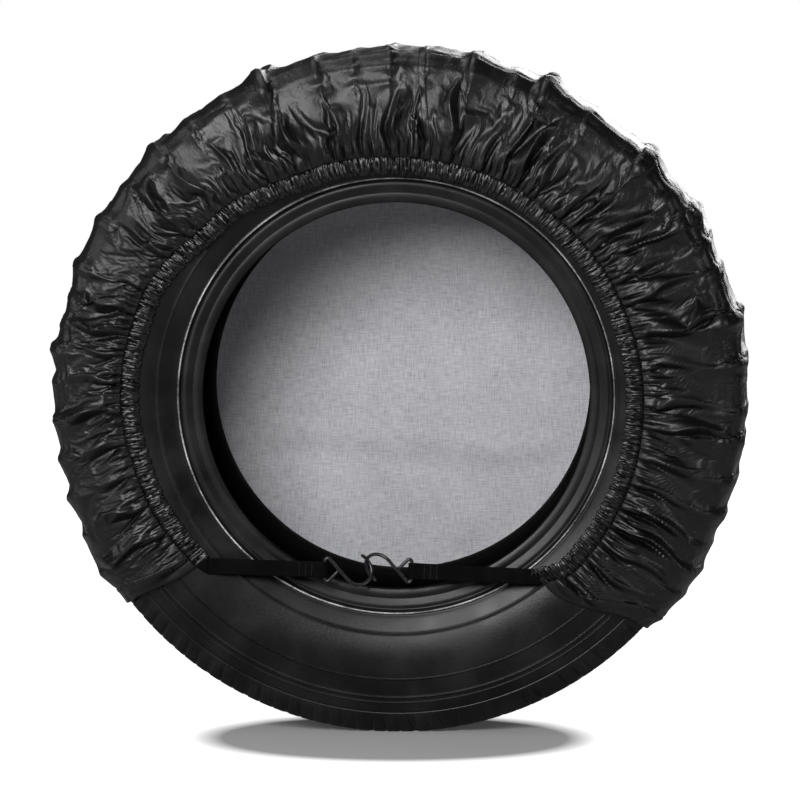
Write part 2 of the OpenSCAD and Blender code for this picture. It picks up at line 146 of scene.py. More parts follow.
# %% Helpers for meshes
def add_object(name, verts, faces, body):
    """A smooth-shaded mesh that rides on a body, or on nothing where body is None."""
    mesh = bpy.data.meshes.new(name)
    mesh.from_pydata([tuple(v) for v in verts], [], faces)
    mesh.validate()
    mesh.update()
    mesh.polygons.foreach_set("use_smooth", [True] * len(mesh.polygons))
    obj = bpy.data.objects.new(name, mesh)
    bpy.context.scene.collection.objects.link(obj)
    if body:
        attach(obj, body)
    return obj


def grid_faces(rows, columns, wrap_rows=False, wrap_columns=False, flip=False, base=0):
    """Quads between the points of a grid, which may close on itself either way."""
    faces = []
    for i in range(rows if wrap_rows else rows - 1):
        for j in range(columns if wrap_columns else columns - 1):
            a, b = base + i * columns + j, base + i * columns + (j + 1) % columns
            under = base + ((i + 1) % rows) * columns
            c, d = under + j, under + (j + 1) % columns
            faces.append((a, c, d, b) if flip else (a, b, d, c))
    return faces


def add_grid(name, points, body, wrap_rows=False, wrap_columns=False, flip=False):
    rows, columns = points.shape[:2]
    faces = grid_faces(rows, columns, wrap_rows, wrap_columns, flip)
    return add_object(name, points.reshape(-1, 3), faces, body)


def add_capped(name, points, body, flip=False):
    """A grid closed round its columns, with one face over each open end."""
    count, sides = points.shape[:2]
    faces = grid_faces(count, sides, wrap_columns=True, flip=flip)
    first, last = tuple(range(sides)), tuple(range((count - 1) * sides, count * sides))
    faces += [first[::-1], last] if flip else [first, last[::-1]]
    return add_object(name, points.reshape(-1, 3), faces, body)


def directions(path):
    """Unit steps along a path."""
    run = np.gradient(path, axis=0)
    return run / np.linalg.norm(run, axis=1)[:, None]


def tube_rings(points, radius):
    """Centres, radii and the two cross directions along a wire with rounded tips."""
    path = np.array(points, float)
    along = directions(path)
    start = np.array([0.31, 0.83, 0.47])  # any direction that no path here follows
    normal = [start - along[0] * (start @ along[0])]
    for k in range(1, len(path)):
        normal.append(normal[-1] - along[k] * (normal[-1] @ along[k]))
    normal = np.array(normal)
    normal /= np.linalg.norm(normal, axis=1)[:, None]
    dome = np.radians([80, 50, 25])
    reach, narrow = radius * np.sin(dome)[:, None], radius * np.cos(dome)
    first, last = path[0] - along[0] * reach, path[-1] + along[-1] * reach
    path = np.vstack([first, path, last[::-1]])
    radii = np.r_[narrow, np.full(len(points), radius), narrow[::-1]]
    repeat = np.r_[[0] * 3, np.arange(len(points)), [-1] * 3]
    normal, along = normal[repeat], along[repeat]
    return path, radii, normal, np.cross(along, normal)


def add_tubes(name, paths, radius, body, sides=8):
    """Round wires or threads along paths, all in one object."""
    verts, faces = [], []
    turn = np.linspace(0, 2 * np.pi, sides, endpoint=False)
    for points in paths:
        path, radii, normal, other = tube_rings(points, radius)
        ring = normal[:, None] * np.cos(turn)[None, :, None]
        ring = ring + other[:, None] * np.sin(turn)[None, :, None]
        base, count = len(verts), len(path)
        verts.extend((path[:, None] + ring * radii[:, None, None]).reshape(-1, 3))
        faces += grid_faces(count, sides, wrap_columns=True, base=base)
        faces.append(tuple(range(base, base + sides))[::-1])
        faces.append(tuple(range(base + (count - 1) * sides, base + count * sides)))
    return add_object(name, verts, faces, body)


def refine(points, axis):
    """Puts a point between each two along an axis, on a smooth curve through its neighbours."""
    p = np.moveaxis(points, axis, 0)
    padded = np.concatenate([2 * p[:1] - p[1:2], p, 2 * p[-1:] - p[-2:-1]])
    middle = (9 * (padded[1:-2] + padded[2:-1]) - padded[:-3] - padded[3:]) / 16
    out = np.empty((2 * len(p) - 1, *p.shape[1:]))
    out[::2], out[1::2] = p, middle
    return np.moveaxis(out, 0, axis)


def grid_normals(points):
    """Unit normals of the surface that a grid of points lies on."""
    down = np.gradient(points, axis=0)
    over = np.gradient(points, axis=1)
    n = np.cross(down, over)
    return n / np.maximum(np.linalg.norm(n, axis=-1, keepdims=True), 1e-12)


# %% [markdown]
# Materials are node trees. One small function adds a node with its settings and links, and
# another turns a hex colour, as a paint chart gives it, into the linear values that a shader
# needs. Patterns use object coordinates, which are metres here, so a scale is one over a size.

# %% Helpers for materials
def linear(code, alpha=1.0):
    """An sRGB hex colour as the linear values a shader needs."""
    out = []
    for k in (0, 2, 4):
        c = int(code[k : k + 2], 16) / 255
        out.append(c / 12.92 if c <= 0.04045 else ((c + 0.055) / 1.055) ** 2.4)
    return (*out, alpha)


def per(size_mm):
    """Texture scale at which one feature measures size_mm."""
    return 1 / (size_mm * MM)


def join(tree, node, links):
    """Links sources to a node's sockets. A node given as a source means its first output."""
    for socket, source in dict(links).items():
        source = source.outputs[0] if isinstance(source, bpy.types.Node) else source
        tree.links.new(source, node.inputs[socket])


def add(tree, kind, links=(), sockets=(), stops=(), **settings):
    """Adds a node: links go into sockets, sockets get values, stops are the places and hex
    colours of a ramp, and settings are the node's own fields."""
    node = tree.nodes.new("ShaderNode" + kind)
    for key, value in settings.items():
        setattr(node, key, value)
    for socket, value in dict(sockets).items():
        node.inputs[socket].default_value = value
    join(tree, node, links)
    stops = list(stops)
    elements = node.color_ramp.elements if stops else ()
    while len(elements) < len(stops):
        elements.new(0.5)
    for element, (at, code) in zip(elements, stops):
        element.position, element.color = at, linear(code)
    return node


RANGE = ("From Min", "From Max", "To Min", "To Max")


def new_material(name, **surface):
    """An empty material with its shader; a socket's name has _ for each space."""
    material = bpy.data.materials.new(name)
    material.use_nodes = True
    tree = material.node_tree
    tree.nodes.clear()
    sockets = {key.replace("_", " "): value for key, value in surface.items()}
    shader = add(tree, "BsdfPrincipled", (), sockets)
    add(tree, "OutputMaterial", {"Surface": shader})
    return material, tree, shader


def grained(name, size_mm, detail, tones, height_mm, strength, **surface):
    """A finish whose one fine noise gives both its tones and its relief."""
    material, tree, shader = new_material(name, **surface)
    place = add(tree, "TexCoord").outputs["Object"]
    grain = add(tree, "TexNoise", {"Vector": place}, {"Scale": per(size_mm), "Detail": detail})
    tone = add(tree, "ValToRGB", {"Fac": grain}, stops=tones)
    depth = {"Distance": height_mm * MM, "Strength": strength}
    relief = add(tree, "Bump", {"Height": grain}, depth)
    join(tree, shader, {"Base Color": tone, "Normal": relief})
    return material, tree, shader, grain


def paint(obj, material):
    """Gives a piece its material."""
    obj.data.materials.clear()
    obj.data.materials.append(material)
    return obj


print("helpers ready: paint a piece, add a node, join nodes")

# %% [markdown]
# A big soft lamp stands a little above and left of the camera, so the bore's edge throws a soft
# shadow over the upper left of the backing. Weaker lamps overhead and on both sides draw thin
# highlights along the folds and on the edges that face away from the big one, and one on the
# far side lights the cover's face. The floor is grey paper that glows white for the camera alone,
# except in an oval round the tyre: there it hardly glows, and its grey is a painted shadow, which
# the lamps' real shadow darkens further.

# %% Light and floor
def add_lamp(name, place, size, power):
    """A rectangular lamp that looks at the wheel's middle."""
    data = bpy.data.lights.new(name, "AREA")
    data.shape = "RECTANGLE"
    data.size, data.size_y = size
    data.energy = power
    lamp = bpy.data.objects.new(name, data)
    bpy.context.scene.collection.objects.link(lamp)
    lamp.location = place
    lamp.rotation_euler = Vector(place).to_track_quat("Z", "Y").to_euler()


add_lamp("key_softbox", (-0.78, -2.6, 1.22), (1.4, 1.4), 76)
add_lamp("overhead_softbox", (-0.4, 0.25, 2.2), (1.6, 0.9), 12)
add_lamp("front_softbox", (1.0, 3.1, 1.2), (1.8, 1.8), 60)
add_lamp("left_strip", (-2.2, -0.5, 0.7), (0.8, 1.6), 10)
add_lamp("right_strip", (2.2, -1.3, 0.6), (0.25, 1.5), 8)

world = bpy.data.worlds.new("studio")
bpy.context.scene.world = world
world.use_nodes = True
tree = world.node_tree
tree.nodes.clear()
seen = add(tree, "LightPath").outputs["Is Camera Ray"]
WHITE = (1, 1, 1, 1)
soft = add(tree, "Background", (), {"Color": WHITE, "Strength": 0.045})
white = add(tree, "Background", (), {"Color": WHITE, "Strength": 1.0})
mix = add(tree, "MixShader", {"Fac": seen, 1: soft, 2: white})
add(tree, "OutputWorld", {"Surface": mix})

# half sizes and middle of the oval of painted shadow, where the floor doesn't glow, in metres
SHADOW_SIZE = (0.197, 0.150)
SHADOW_Y = -0.13


def studio_floor():
    z = PATCH_Z * MM
    points = np.array([[(x, y, z) for x in (-9.0, 9.0)] for y in (-5.0, 30.0)])
    floor = add_grid("studio_floor", points, None)
    surface = {"Base_Color": linear("a6a6a6"), "Roughness": 0.9, "Specular_IOR_Level": 0.0}
    material, tree, shader = new_material("white_paper_floor", Emission_Color=WHITE, **surface)
    place = add(tree, "TexCoord").outputs["Object"]
    sizes = {"Location": (0, -SHADOW_Y / SHADOW_SIZE[1], 0)}
    sizes["Scale"] = (1 / SHADOW_SIZE[0], 1 / SHADOW_SIZE[1], 1)
    scaled = add(tree, "Mapping", {"Vector": place}, sizes)
    flat = add(tree, "VectorMath", {0: scaled}, {1: (1, 1, 0)}, operation="MULTIPLY")
    away = add(tree, "VectorMath", {0: flat}, operation="LENGTH").outputs["Value"]
    # inside the oval the grey paper hardly glows: a painted shadow, darkened further by the lamps'
    # own shadow
    glow = add(tree, "MapRange", {"Value": away}, zip(RANGE, (0.9, 1.1, 0.04, 1.0)))
    seen = add(tree, "LightPath").outputs["Is Camera Ray"]
    strength = add(tree, "Math", {0: seen, 1: glow}, operation="MULTIPLY")
    join(tree, shader, {"Emission Strength": strength})
    paint(floor, material)


studio_floor()
bpy.context.scene.view_settings.view_transform = "Standard"

# %% [markdown]
# PVC vinyl on a knitted back is embossed by a hot roller, so it has a fine pebble grain, and it
# is glossy where it is stretched and duller where it is folded often. It is near black; the tops
# of its grain near the rim are painted a paler cool grey, as painted glints. The grain here is
# coarser than the real one, which would be lost at this distance, and small creases break the
# highlights up.

# %% Embossed black vinyl
VINYL_TONES = ("020202", "060607", "17171a")
# radii, in metres, between which the roller's grain and the painted glints on its tops turn from
# faint to crisp
GRAIN_AND_GLINT_FAINT, GRAIN_AND_GLINT_CRISP = 0.306, 0.336


def embossed_vinyl(name, crease=0.22, gloss=(0.36, 0.52), tones=VINYL_TONES):
    """crease is how deep the small creases are, and gloss is the range of roughness."""
    material, tree, shader = new_material(name, IOR=1.5)
    place = add(tree, "TexCoord").outputs["Object"]
    grain = add(tree, "TexVoronoi", {"Vector": place}, {"Scale": per(3.0)}, feature="SMOOTH_F1")
    sizes = {"speckle": (3.4, 5), "creases": (22, 4), "scuffs": (60, 3), "patches": (16, 2)}
    noise = {part: add(tree, "TexNoise", {"Vector": place}, {"Scale": per(mm), "Detail": detail})
             for part, (mm, detail) in sizes.items()}
    # the grain is crisp where the vinyl lies flat near the rim, and pulled out elsewhere, and so
    # are the painted glints on its tops
    ring = add(tree, "VectorMath", {0: place}, {1: (1, 0, 1)}, operation="MULTIPLY")
    radius = add(tree, "VectorMath", {0: ring}, operation="LENGTH").outputs["Value"]
    near = zip(RANGE, (GRAIN_AND_GLINT_FAINT, GRAIN_AND_GLINT_CRISP, 0.12, 1.0))
    crisp = add(tree, "MapRange", {"Value": radius}, near)
    patchy = add(tree, "MapRange", {"Value": noise["patches"]}, zip(RANGE, (0.4, 0.6, 0.25, 1.0)))
    crisp = add(tree, "Math", {0: crisp, 1: patchy}, operation="MULTIPLY")
    top = add(tree, "MapRange", {"Value": grain}, zip(RANGE, (0.12, 0.4, 1.0, 0.0)))
    pebble_relief_and_glints = add(tree, "Math", {0: top, 1: crisp}, operation="MULTIPLY")
    links = {0: pebble_relief_and_glints, 2: noise["speckle"]}
    mix = add(tree, "Math", links, {1: 0.3}, operation="MULTIPLY_ADD")
    # the palest stop, a cool grey, falls on the grain's tops: painted glints
    stops = zip((0.40, 0.62, 0.80, 0.95), (*tones, "4a4a4e"))
    tone = add(tree, "ValToRGB", {"Fac": mix}, stops=stops)
    dull = add(tree, "MapRange", {"Value": noise["scuffs"]}, zip(RANGE, (0.35, 0.7, *gloss)))
    relief = None
    heights = ((pebble_relief_and_glints, 0.6, 0.4), (noise["speckle"], 0.9, 0.2), (noise["creases"], 3.0, crease))
    for height, mm, strength in heights:
        links = {"Height": height} | ({"Normal": relief} if relief else {})
        relief = add(tree, "Bump", links, {"Distance": mm * MM, "Strength": strength})
    join(tree, shader, {"Base Color": tone, "Roughness": dull, "Normal": relief})
    return material


vinyl = embossed_vinyl("embossed_black_vinyl")
print("material:", vinyl.name)

# %% [markdown]
# The cover's strip is cut flat, sewn to the face along one side and drawn in by the elastic
# along the other. The extra length there has to go somewhere, so it buckles into folds. Cloth
# simulation does just that: the mesh starts wrapped round the tyre, its rest shape is the flat
# strip, and the springs push it out into folds until it is nearly its cut length again.

# %% The strip's path from the front seam to the hem
STRIP_PATH = [(346.6, 111.6), (350.6, 105), (353.6, 95), (354.6, 84), (354.6, 0), (354.6, -62),
              (353.8, -84), (350, -96), (341, -105), (324, -110.8), (300, -112.2)]
SHOULDER_POINT = 5  # the path's point where the tread's rows end and the sidewall's begin
COLUMNS = 780
TREAD_ROWS, BACK_ROWS = 13, 30
FOLD_ANGLES = [
    -40, -35.2, -30.5, -25.9, -20, -14, -6.9, -2.1, 6.3, 13.8, 22, 27.4, 32.2, 36.7, 44.1, 47.3,
    55.5, 60.2, 64.3, 69.2, 76.9, 84.6, 91, 97.4, 103.7, 113.1, 120, 127.1, 134.1, 142.3, 148.6,
    157, 162.5, 167.2, 171.4, 177.2, 183.5, 190.3, 197, 204, 211,
]
# how far each fold stands out over the tread, in mm
CRESTS = [
    3, 4, 5, 3, 5, 3, 4, 3, 4, 8, 3, 4, 8, 3, 9, 3, 3, 3, 9, 2, 5, 3, 4, 3, 4, 8, 2, 3, 6, 3, 5,
    6, 3, 4, 8, 4, 5, 4, 5, 3, 4,
]


def resample(points, count):
    points = np.array(points, float)
    along = np.r_[0, np.cumsum(np.linalg.norm(np.diff(points, axis=0), axis=1))]
    at = np.linspace(0, along[-1], count)
    return np.stack([np.interp(at, along, points[:, k]) for k in (0, 1)], axis=1)


def strip_section(hem_r):
    """Radius and y of each row of the strip where the hem's inner edge is at hem_r."""
    tread = resample(STRIP_PATH[: SHOULDER_POINT + 1], TREAD_ROWS + 1)
    hem_end = (hem_r + HEM_W, STRIP_PATH[-1][1])
    back = resample(STRIP_PATH[SHOULDER_POINT:] + [hem_end], BACK_ROWS + 1)
    return np.vstack([tread, back[1:]])


def lean(section):
    """How far each row has turned with the hem, 0 on the tread and 1 at the hem."""
    r, y = section[:, 0], section[:, 1]
    return np.where(y < -80, smooth((345 - r) / (345 - section[-1, 0])), 0)


def strip_start():
    """The wrapped grid, in mm as [column, row, (angle, r, y)]."""
    grid = []
    for u in np.linspace(0, 1, COLUMNS):
        hem_angle = (END_RIGHT + HEM_LEAN[1]) * (1 - u) + (END_LEFT + HEM_LEAN[0]) * u
        section = strip_section(float(hem_radius(hem_angle)))
        turn = lean(section)
        rim_angle = END_RIGHT * (1 - u) + END_LEFT * u
        angle = rim_angle + (hem_angle - rim_angle) * turn
        grid.append(np.column_stack([angle, section]))
    return np.array(grid)


start = strip_start()
print("strip grid:", start.shape)

# %% [markdown]
# The folds are seeded before the simulation starts. Between each two creases lies a broad leaf
# that ends in a tip, with narrower folds on it near the hem, and a low ridge runs on from it
# over the tread. The solver turns these seeds into cloth that bears on the tyre, and because
# the seeds are fixed, the cover keeps its folds from run to run.

# %% Seed the folds
CREASES = np.array([-53, -46.5, *FOLD_ANGLES, 218, 224.5])
LEAF_H, SPLIT_H, NARROW_H = 9.5, 3.4, 4.5
CUT_R, CUT_EASE = 362.0, 1.025  # the cut length is the arc at this radius and a little more


def fold_number(angle, split=1):
    """How many creases have been passed, with each fold split in so many."""
    return np.interp(angle, CREASES, np.arange(len(CREASES))) * split


def lobes(angle, split=1):
    """Folds between the creases, 0 in a crease and 1 on a ridge, each split in so many."""
    s = fold_number(angle, split)
    t = s - np.floor(s)
    # the cloth sags, so the flank of a fold that faces down is the steep one
    t = np.where(angle < SEAM_AT, 1 - t, t)
    tall = 1 + 0.28 * np.sin(np.floor(s) * 1.7 + split) + 0.12 * np.sin(np.floor(s) * 4.1)
    return tall * smooth(np.minimum(t / 0.8, (1 - t) / 0.2))


def crests(angle):
    """The few folds that run on over the tread, as sharp ridges steeper on one side."""
    height = np.zeros_like(angle)
    for at, size in zip(FOLD_ANGLES, CRESTS):
        away = (angle - at) * (1 if at < SEAM_AT else -1)
        height = np.maximum(height, size * np.exp(-np.where(away < 0, -away / 2.6, away / 0.9)))
    return height


def seeded(grid):
    """The wrapped grid with the seeds of its folds, as angles, radii and y."""
    angle, r, y = grid[..., 0], grid[..., 1], grid[..., 2]
    tread = smooth((88 - y) / 50)
    back = smooth((y + 84) / -24)
    far = r - grid[:, -1:, 1]
    ends = smooth(np.minimum(angle - angle[:1], angle[-1:] - angle) / 3)
    # the folds wander a little sideways on their way from the shoulder to the hem
    bent = angle + 0.9 * np.sin(r / 17 + angle / 4.5) * back * smooth(far / 40)
    # each broad fold ends in a tip, some nearer the shoulder than others
    tip = 72 + 12 * np.sin(2.3 * fold_number(bent))
    slim = 1 + 2.2 * (far / tip).clip(0, 1)
    leaf = lobes(bent) ** slim * LEAF_H
    leaf = leaf * smooth((tip + 20 - far) / 45) * (0.2 + 0.8 * smooth(far / 34))
    leaf = leaf + lobes(bent, 2) * SPLIT_H * np.exp(-(((far - 28) / 26) ** 2))
    narrow = lobes(bent, 3) * NARROW_H * np.exp(-((far / 30) ** 2)) * (0.3 + 0.7 * smooth(far / 8))
    ridge = crests(angle) * tread * (0.35 + 0.65 * smooth((far - 20) / 60))
    out = ridge * (1 - 0.7 * back) * ends
    lift = ((leaf + narrow) * back + ridge * back) * ends
    return angle, r + out, y - lift


def flat_lengths(grid):
    """The rest shape that the solver gets, in mm along and across the strip, and the cut size."""
    middle = grid[COLUMNS // 2]
    step = np.linalg.norm(np.diff(middle[:, 1:], axis=0), axis=1)
    across = np.r_[0, np.cumsum(step)]
    turn = math.radians(END_LEFT - END_RIGHT)
    # near the hem the pleats pressed in later take up the rest of the gathered length
    spare = 1.02 + 0.09 * smooth((-84 - middle[:, 2]) / 28)
    length = middle[:, 1] * turn * spare
    along = np.linspace(-0.5, 0.5, COLUMNS)[:, None] * length[None, :]
    return along, across, CUT_R * turn * CUT_EASE


angle, radius, depth = seeded(start)
wrapped = around(angle, radius, depth)
along, across, cut_length = flat_lengths(start)
print("cut strip: %.0f by %.0f mm" % (cut_length, across[-1]))

# %% [markdown]
# A plain ring with the tyre's outline stands in for the tyre in the simulation, so the cloth
# rests on the tread and the sidewall. It is deleted afterwards.

# %% Gather the cloth
FRAMES = 18
PROXY = [
    (342, 116), (345, 111), (350, 98), (353, 84), (353.5, 40), (353.5, 0), (353.2, -55),
    (352, -80), (348.5, -93), (338, -103), (323, -108.5), (300, -110.9), (278, -111.2),
    (240, -111.2),
]


def tyre_proxy():
    angles = np.linspace(0, 360, 180, endpoint=False)
    points = np.array([[around(a, r, y) for r, y in PROXY] for a in angles])
    return add_grid("tyre_proxy", points, None, wrap_rows=True, flip=True)


def gather(points, flat):
    """A cloth at points, pinned along its edges, whose rest shape is flat. It weighs little and
    bends stiffly, as coated cloth does, and a slight pressure keeps it off the tyre."""
    sheet = add_grid("strip_cloth", points, None, flip=True)
    sheet.shape_key_add(name="wrapped")
    rest = sheet.shape_key_add(name="flat")
    rest.data.foreach_set("co", flat.astype(np.float32).ravel())
    rest.value = 0
    pins = sheet.vertex_groups.new(name="sewn")
    columns, rows = points.shape[:2]
    held = [c * rows + r for c in range(columns) for r in range(rows)
            if r in (0, rows - 1) or c in (0, columns - 1)]
    pins.add(held, 1.0, "REPLACE")
    cloth = sheet.modifiers.new("cloth", "CLOTH")
    s = cloth.settings
    s.rest_shape_key = rest
    s.vertex_group_mass = "sewn"
    s.quality = 6
    s.mass = 0.3
    s.tension_stiffness = s.compression_stiffness = 25
    s.shear_stiffness = 12
    s.bending_stiffness = 0.35
    s.tension_damping = s.compression_damping = 8
    s.bending_damping = 0.6
    s.air_damping = 1.5
    s.effector_weights.gravity = 0.15
    s.use_pressure = True
    s.uniform_pressure_force = 0.05
    c = cloth.collision_settings
    c.collision_quality = 2
    c.distance_min = 0.4 * MM
    c.use_self_collision = False
    cloth.point_cache.frame_start = 1
    cloth.point_cache.frame_end = FRAMES
    return sheet


def settle(wrapped):
    """Runs the simulation and returns where the cloth came to rest."""
    flat = np.zeros(wrapped.shape)
    flat[..., 0] = along * MM
    flat[..., 1] = across[None, :] * MM
    proxy = tyre_proxy()
    proxy.modifiers.new("collision", "COLLISION")
    proxy.collision.thickness_outer = 0.5 * MM
    sheet = gather(wrapped, flat)
    for step in range(1, FRAMES + 1):
        bpy.context.scene.frame_set(step)
    depsgraph = bpy.context.evaluated_depsgraph_get()
    mesh = sheet.evaluated_get(depsgraph).to_mesh()
    settled = np.empty(len(mesh.vertices) * 3, np.float32)
    mesh.vertices.foreach_get("co", settled)
    bpy.data.objects.remove(sheet)
    bpy.data.objects.remove(proxy)
    bpy.context.scene.frame_set(1)
    return settled.reshape(wrapped.shape).astype(float)


settled = settle(wrapped)
moved = np.linalg.norm(settled - wrapped, axis=-1)
print("cloth: moved %.1f mm at most" % (moved.max() / MM))

# %% [markdown]
# Next to the stitching the vinyl is pinched into pleats a few millimetres wide, finer than the
# simulated mesh. They start as one pleat per stitch and run together outwards into fewer and
# wider ones. The settled grid is made finer first, then each set of pleats is pressed into it
# along its normals, over a shorter or longer way from the hem. The same step adds what the
# solver irons out over the tread: a little slack and the sharp crests of the folds.

# %% Fine pleats at the hem
# pleats in each fold, their height and how far from the hem they reach, in mm
PLEATS = ((6, 1.5, 13), (3, 1.5, 32), (13, 0.5, 10))
OFF_THE_HEM = 200
BLURS = 3
fine = refine(refine(settled, 0), 1)
columns, rows = fine.shape[:2]
turned = np.degrees(np.unwrap(np.arctan2(fine[..., 2], fine[..., 0]), axis=0))
turned += 360 * np.round((END_RIGHT - turned[0, 0]) / 360)
far = (np.hypot(fine[..., 0], fine[..., 2]) / MM - hem_radius(turned) - HEM_W).clip(0)
far = np.where(fine[..., 1] < -80 * MM, far, OFF_THE_HEM)
ends = smooth(np.minimum(turned - turned[:1], turned[-1:] - turned) / 2.2)


def wander(angle, seed):
    """A smooth, never repeating shift along the strip, between -1 and 1."""
    waves = ((0.29, 1.0), (0.83, 0.7), (1.91, 0.5), (4.7, 0.35))
    return sum(h * np.sin(f * angle + seed * (3 + 7 * f)) for f, h in waves) / 2.2


press = np.zeros((columns, rows))
for seed, (split, height, reach) in enumerate(PLEATS):
    drift = 0.5 * wander(turned, seed + 1) / split + 0.02 * far / split * wander(turned, seed + 5)
    size = height * (0.75 + 0.45 * wander(turned * 3.1, seed + 9))
    press += size * lobes(turned + drift, split) * np.exp(-((far / reach) ** 2))
press *= smooth((far + 3) / 5)
# over the tread the cloth hangs a little off the rubber, and the tall folds stay sharp there
depth, out = fine[..., 1] / MM, np.hypot(fine[..., 0], fine[..., 2]) / MM
over_tread = smooth((92 - depth) / 26) * smooth((out - 322) / 24)
loose = smooth((turned + 24) / 14) * smooth((168 - turned) / 20)
slack = loose * (2.2 + wander(turned * 0.5, 3) + 1.8 * smooth((44 - turned) / 12))
slack = slack - 1.5 * (1 - loose)
press += over_tread * (slack + 0.85 * crests(turned + 0.6 * np.sin(depth / 31)))
for _ in range(BLURS):
    press[1:-1] = (press[:-2] + 2 * press[1:-1] + press[2:]) / 4
pleated = fine + grid_normals(fine) * (press * ends * MM)[..., None]
print("strip: %d by %d points" % (columns, rows))
side_strip = add_grid("side_strip", pleated, "cover", flip=True)
paint(side_strip, vinyl)
panels = ("side_panel_left", "side_panel_right", "joining_seam", "end_hem_left", "end_hem_right")
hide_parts(*panels)

# %% [markdown]
# Where the strip ends, its raw edge is folded over twice and sewn flat, and where its two
# lengths meet they are joined by a lapped seam. Both are narrow slabs that follow the settled
# cloth: a band of its columns is lifted off the surface and closed round its edges.

# %% Hems at the two ends and the joining seam
def slab(name, points, lift, sink, body):
    """Closes a band of cloth into a slab that stands lift above it and reaches sink below."""
    normals = grid_normals(points)
    # the first and last column are rounded over by the fold in the vinyl
    edge = np.ones(len(points))
    edge[[0, -1]] = 0.55
    upper = points + normals * (lift * edge * MM)[:, None, None]
    lower = points - normals * sink * MM
    ring = np.concatenate([upper, lower[::-1]])
    rows, columns = ring.shape[:2]
    faces = grid_faces(rows, columns, wrap_rows=True, flip=True)
    return add_object(name, ring.reshape(-1, 3), faces, body), upper


COLUMN_GAP = 0.6


def band(first, last):
    """Settled columns between two distances, in mm, measured along the strip from its end."""
    run = np.linspace(0, cut_length, len(fine))
    return pleated[(run >= first - COLUMN_GAP) & (run <= last + COLUMN_GAP)]


def smooth_columns(points, passes):
    """A doubled hem is stiffer than the cloth, so it is flatter along its width."""
    for _ in range(passes):
        inner = (points[:-2] + 2 * points[1:-1] + points[2:]) / 4
        points = np.concatenate([points[:1], inner, points[-1:]])
    return points


END_HEM_W, SEAM_W = 20, 8
FLATTENING = 8
seam_from = (SEAM_AT - END_RIGHT) / (END_LEFT - END_RIGHT) * cut_length
bands = {
    "end_hem_right_folded": (0, END_HEM_W, 1.5, 0.5),
    "end_hem_left_folded": (cut_length - END_HEM_W, cut_length, 1.5, 0.5),
    "joining_seam_lapped": (seam_from - SEAM_W / 2, seam_from + SEAM_W / 2, 1.0, 0.3),
}
trims, upper_faces = [], {}
for name, (first, last, lift, sink) in bands.items():
    trim, upper_faces[name] = slab(name, smooth_columns(band(first, last), FLATTENING), lift, sink,
                                   "cover")
    trims.append(paint(trim, vinyl))
print("trims:", [t.name for t in trims])

# %% [markdown]
# The channel that holds the elastic is the strip's own edge, turned over and sewn down. Drawn
# up by the elastic, it stands in crowded ruffles of a few millimetres, no two alike. Each is a
# short lobe here, whose height, width and lean wander along the hem.

# %% Ruffled hem channel
RUFFLE, POINTS_EACH = 1.05, 7  # degrees between ruffles, and points along each
SIDE_Y, RUFFLE_TOP = 111.3, 117.2
CHANNEL = [
    # distance from the hem's inner edge, half width there, share of the ruffle's height
    (20.2, 111.9, 0), (19.4, 112.6, 0.35), (17.6, 114.0, 0.9), (14.8, 114.8, 1),
    (12.0, 115.0, 0.8), (9.2, 114.8, 1), (6.4, 115.2, 0.9), (3.8, 114.8, 1), (1.4, 114.0, 0.8),
    (-0.6, 113.0, 0.5), (-1.4, 112.2, 0.1), (0.8, 111.4, 0), (4, 111.3, 0), (12, 111.3, 0),
    (19, 111.4, 0),
]


def channel(name, first, last):
    """A ruffled tube along the hem between two angles."""
    angle = np.linspace(first, last, int(abs(last - first) / RUFFLE * POINTS_EACH))
    edge = hem_radius(angle)
    rows = []
    for k, (offset, y, share) in enumerate(CHANNEL):
        # the lobes lean to and fro across the channel's width, and some of them end half way
        drift = 0.6 * wander(angle * 1.3, 21) + 0.045 * offset * wander(angle * 7, 27)
        wave = np.abs(np.sin(np.pi * (angle + drift) / RUFFLE)) ** 0.8
        other = np.abs(np.sin(np.pi * (angle - drift) / (1.37 * RUFFLE) + 0.09 * offset))
        size = 4.6 * (0.7 + 0.5 * wander(angle * 5 + k * 1.3, 31).clip(-0.9, 0.6))
        ragged = np.where(share > 0, 1.5 * wander(angle * 9, 35) * (offset < 3), 0)
        height = y + share * (size * wave * (0.45 + 0.55 * other) - 2.2)
        height = height.clip(SIDE_Y, RUFFLE_TOP)
        rows.append(around(angle, edge + offset + ragged - 0.4 * share * wave, -height))
    return add_capped(name, np.stack(rows, axis=1), "cover", flip=True)


channel_seam = SEAM_AT + HEM_LEAN[2]
dense_tones = ("020202", "08080a", "26262a")
dense_vinyl = embossed_vinyl("gathered_black_vinyl", 0.1, (0.28, 0.4), dense_tones)
channel_ends = {
    "hem_channel_left": (channel_seam + 0.05, END_LEFT + HEM_LEAN[0]),
    "hem_channel_right": (END_RIGHT + HEM_LEAN[1], channel_seam - 0.05),
}
for name, (first, last) in channel_ends.items():
    ruffled = channel(name + "_ruffled", first, last)
    paint(ruffled, dense_vinyl)
    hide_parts(name)
    trims.append(ruffled)
    print(name, len(ruffled.data.vertices), "points")

# %% [markdown]
# A tyre is moulded, so its sidewall is a turned shape with thin raised rings left by the
# mould's vents and edges, and the shoulder has notches and finer sipes pressed into it. The
# profile is drawn as radius and half width, with extra points where a ring stands. The band
# between the rings that would carry lettering is left bare.

# %% Tyre profiles
RINGS = ((245.3, 0.5), (292.3, 1.1), (312, 1.0), (317.5, 1.0))  # radius and height
RING_W = 1.6
GROOVES, GROOVE_W, GROOVE_T = (16, 51), 9, 8
NOTCHES, NOTCH_T = 48, 3.2
SIPE_AT = 2.5
NOTCH_IN, NOTCH_SIDE = 0.515, 0.857  # a notch's depth, split into inwards and sideways


def ring_height(r):
    height = np.zeros_like(r)
    for at, tall in RINGS:
        height += tall * np.clip(1 - ((r - at) / (RING_W / 2)) ** 2, 0, 1)
    return height


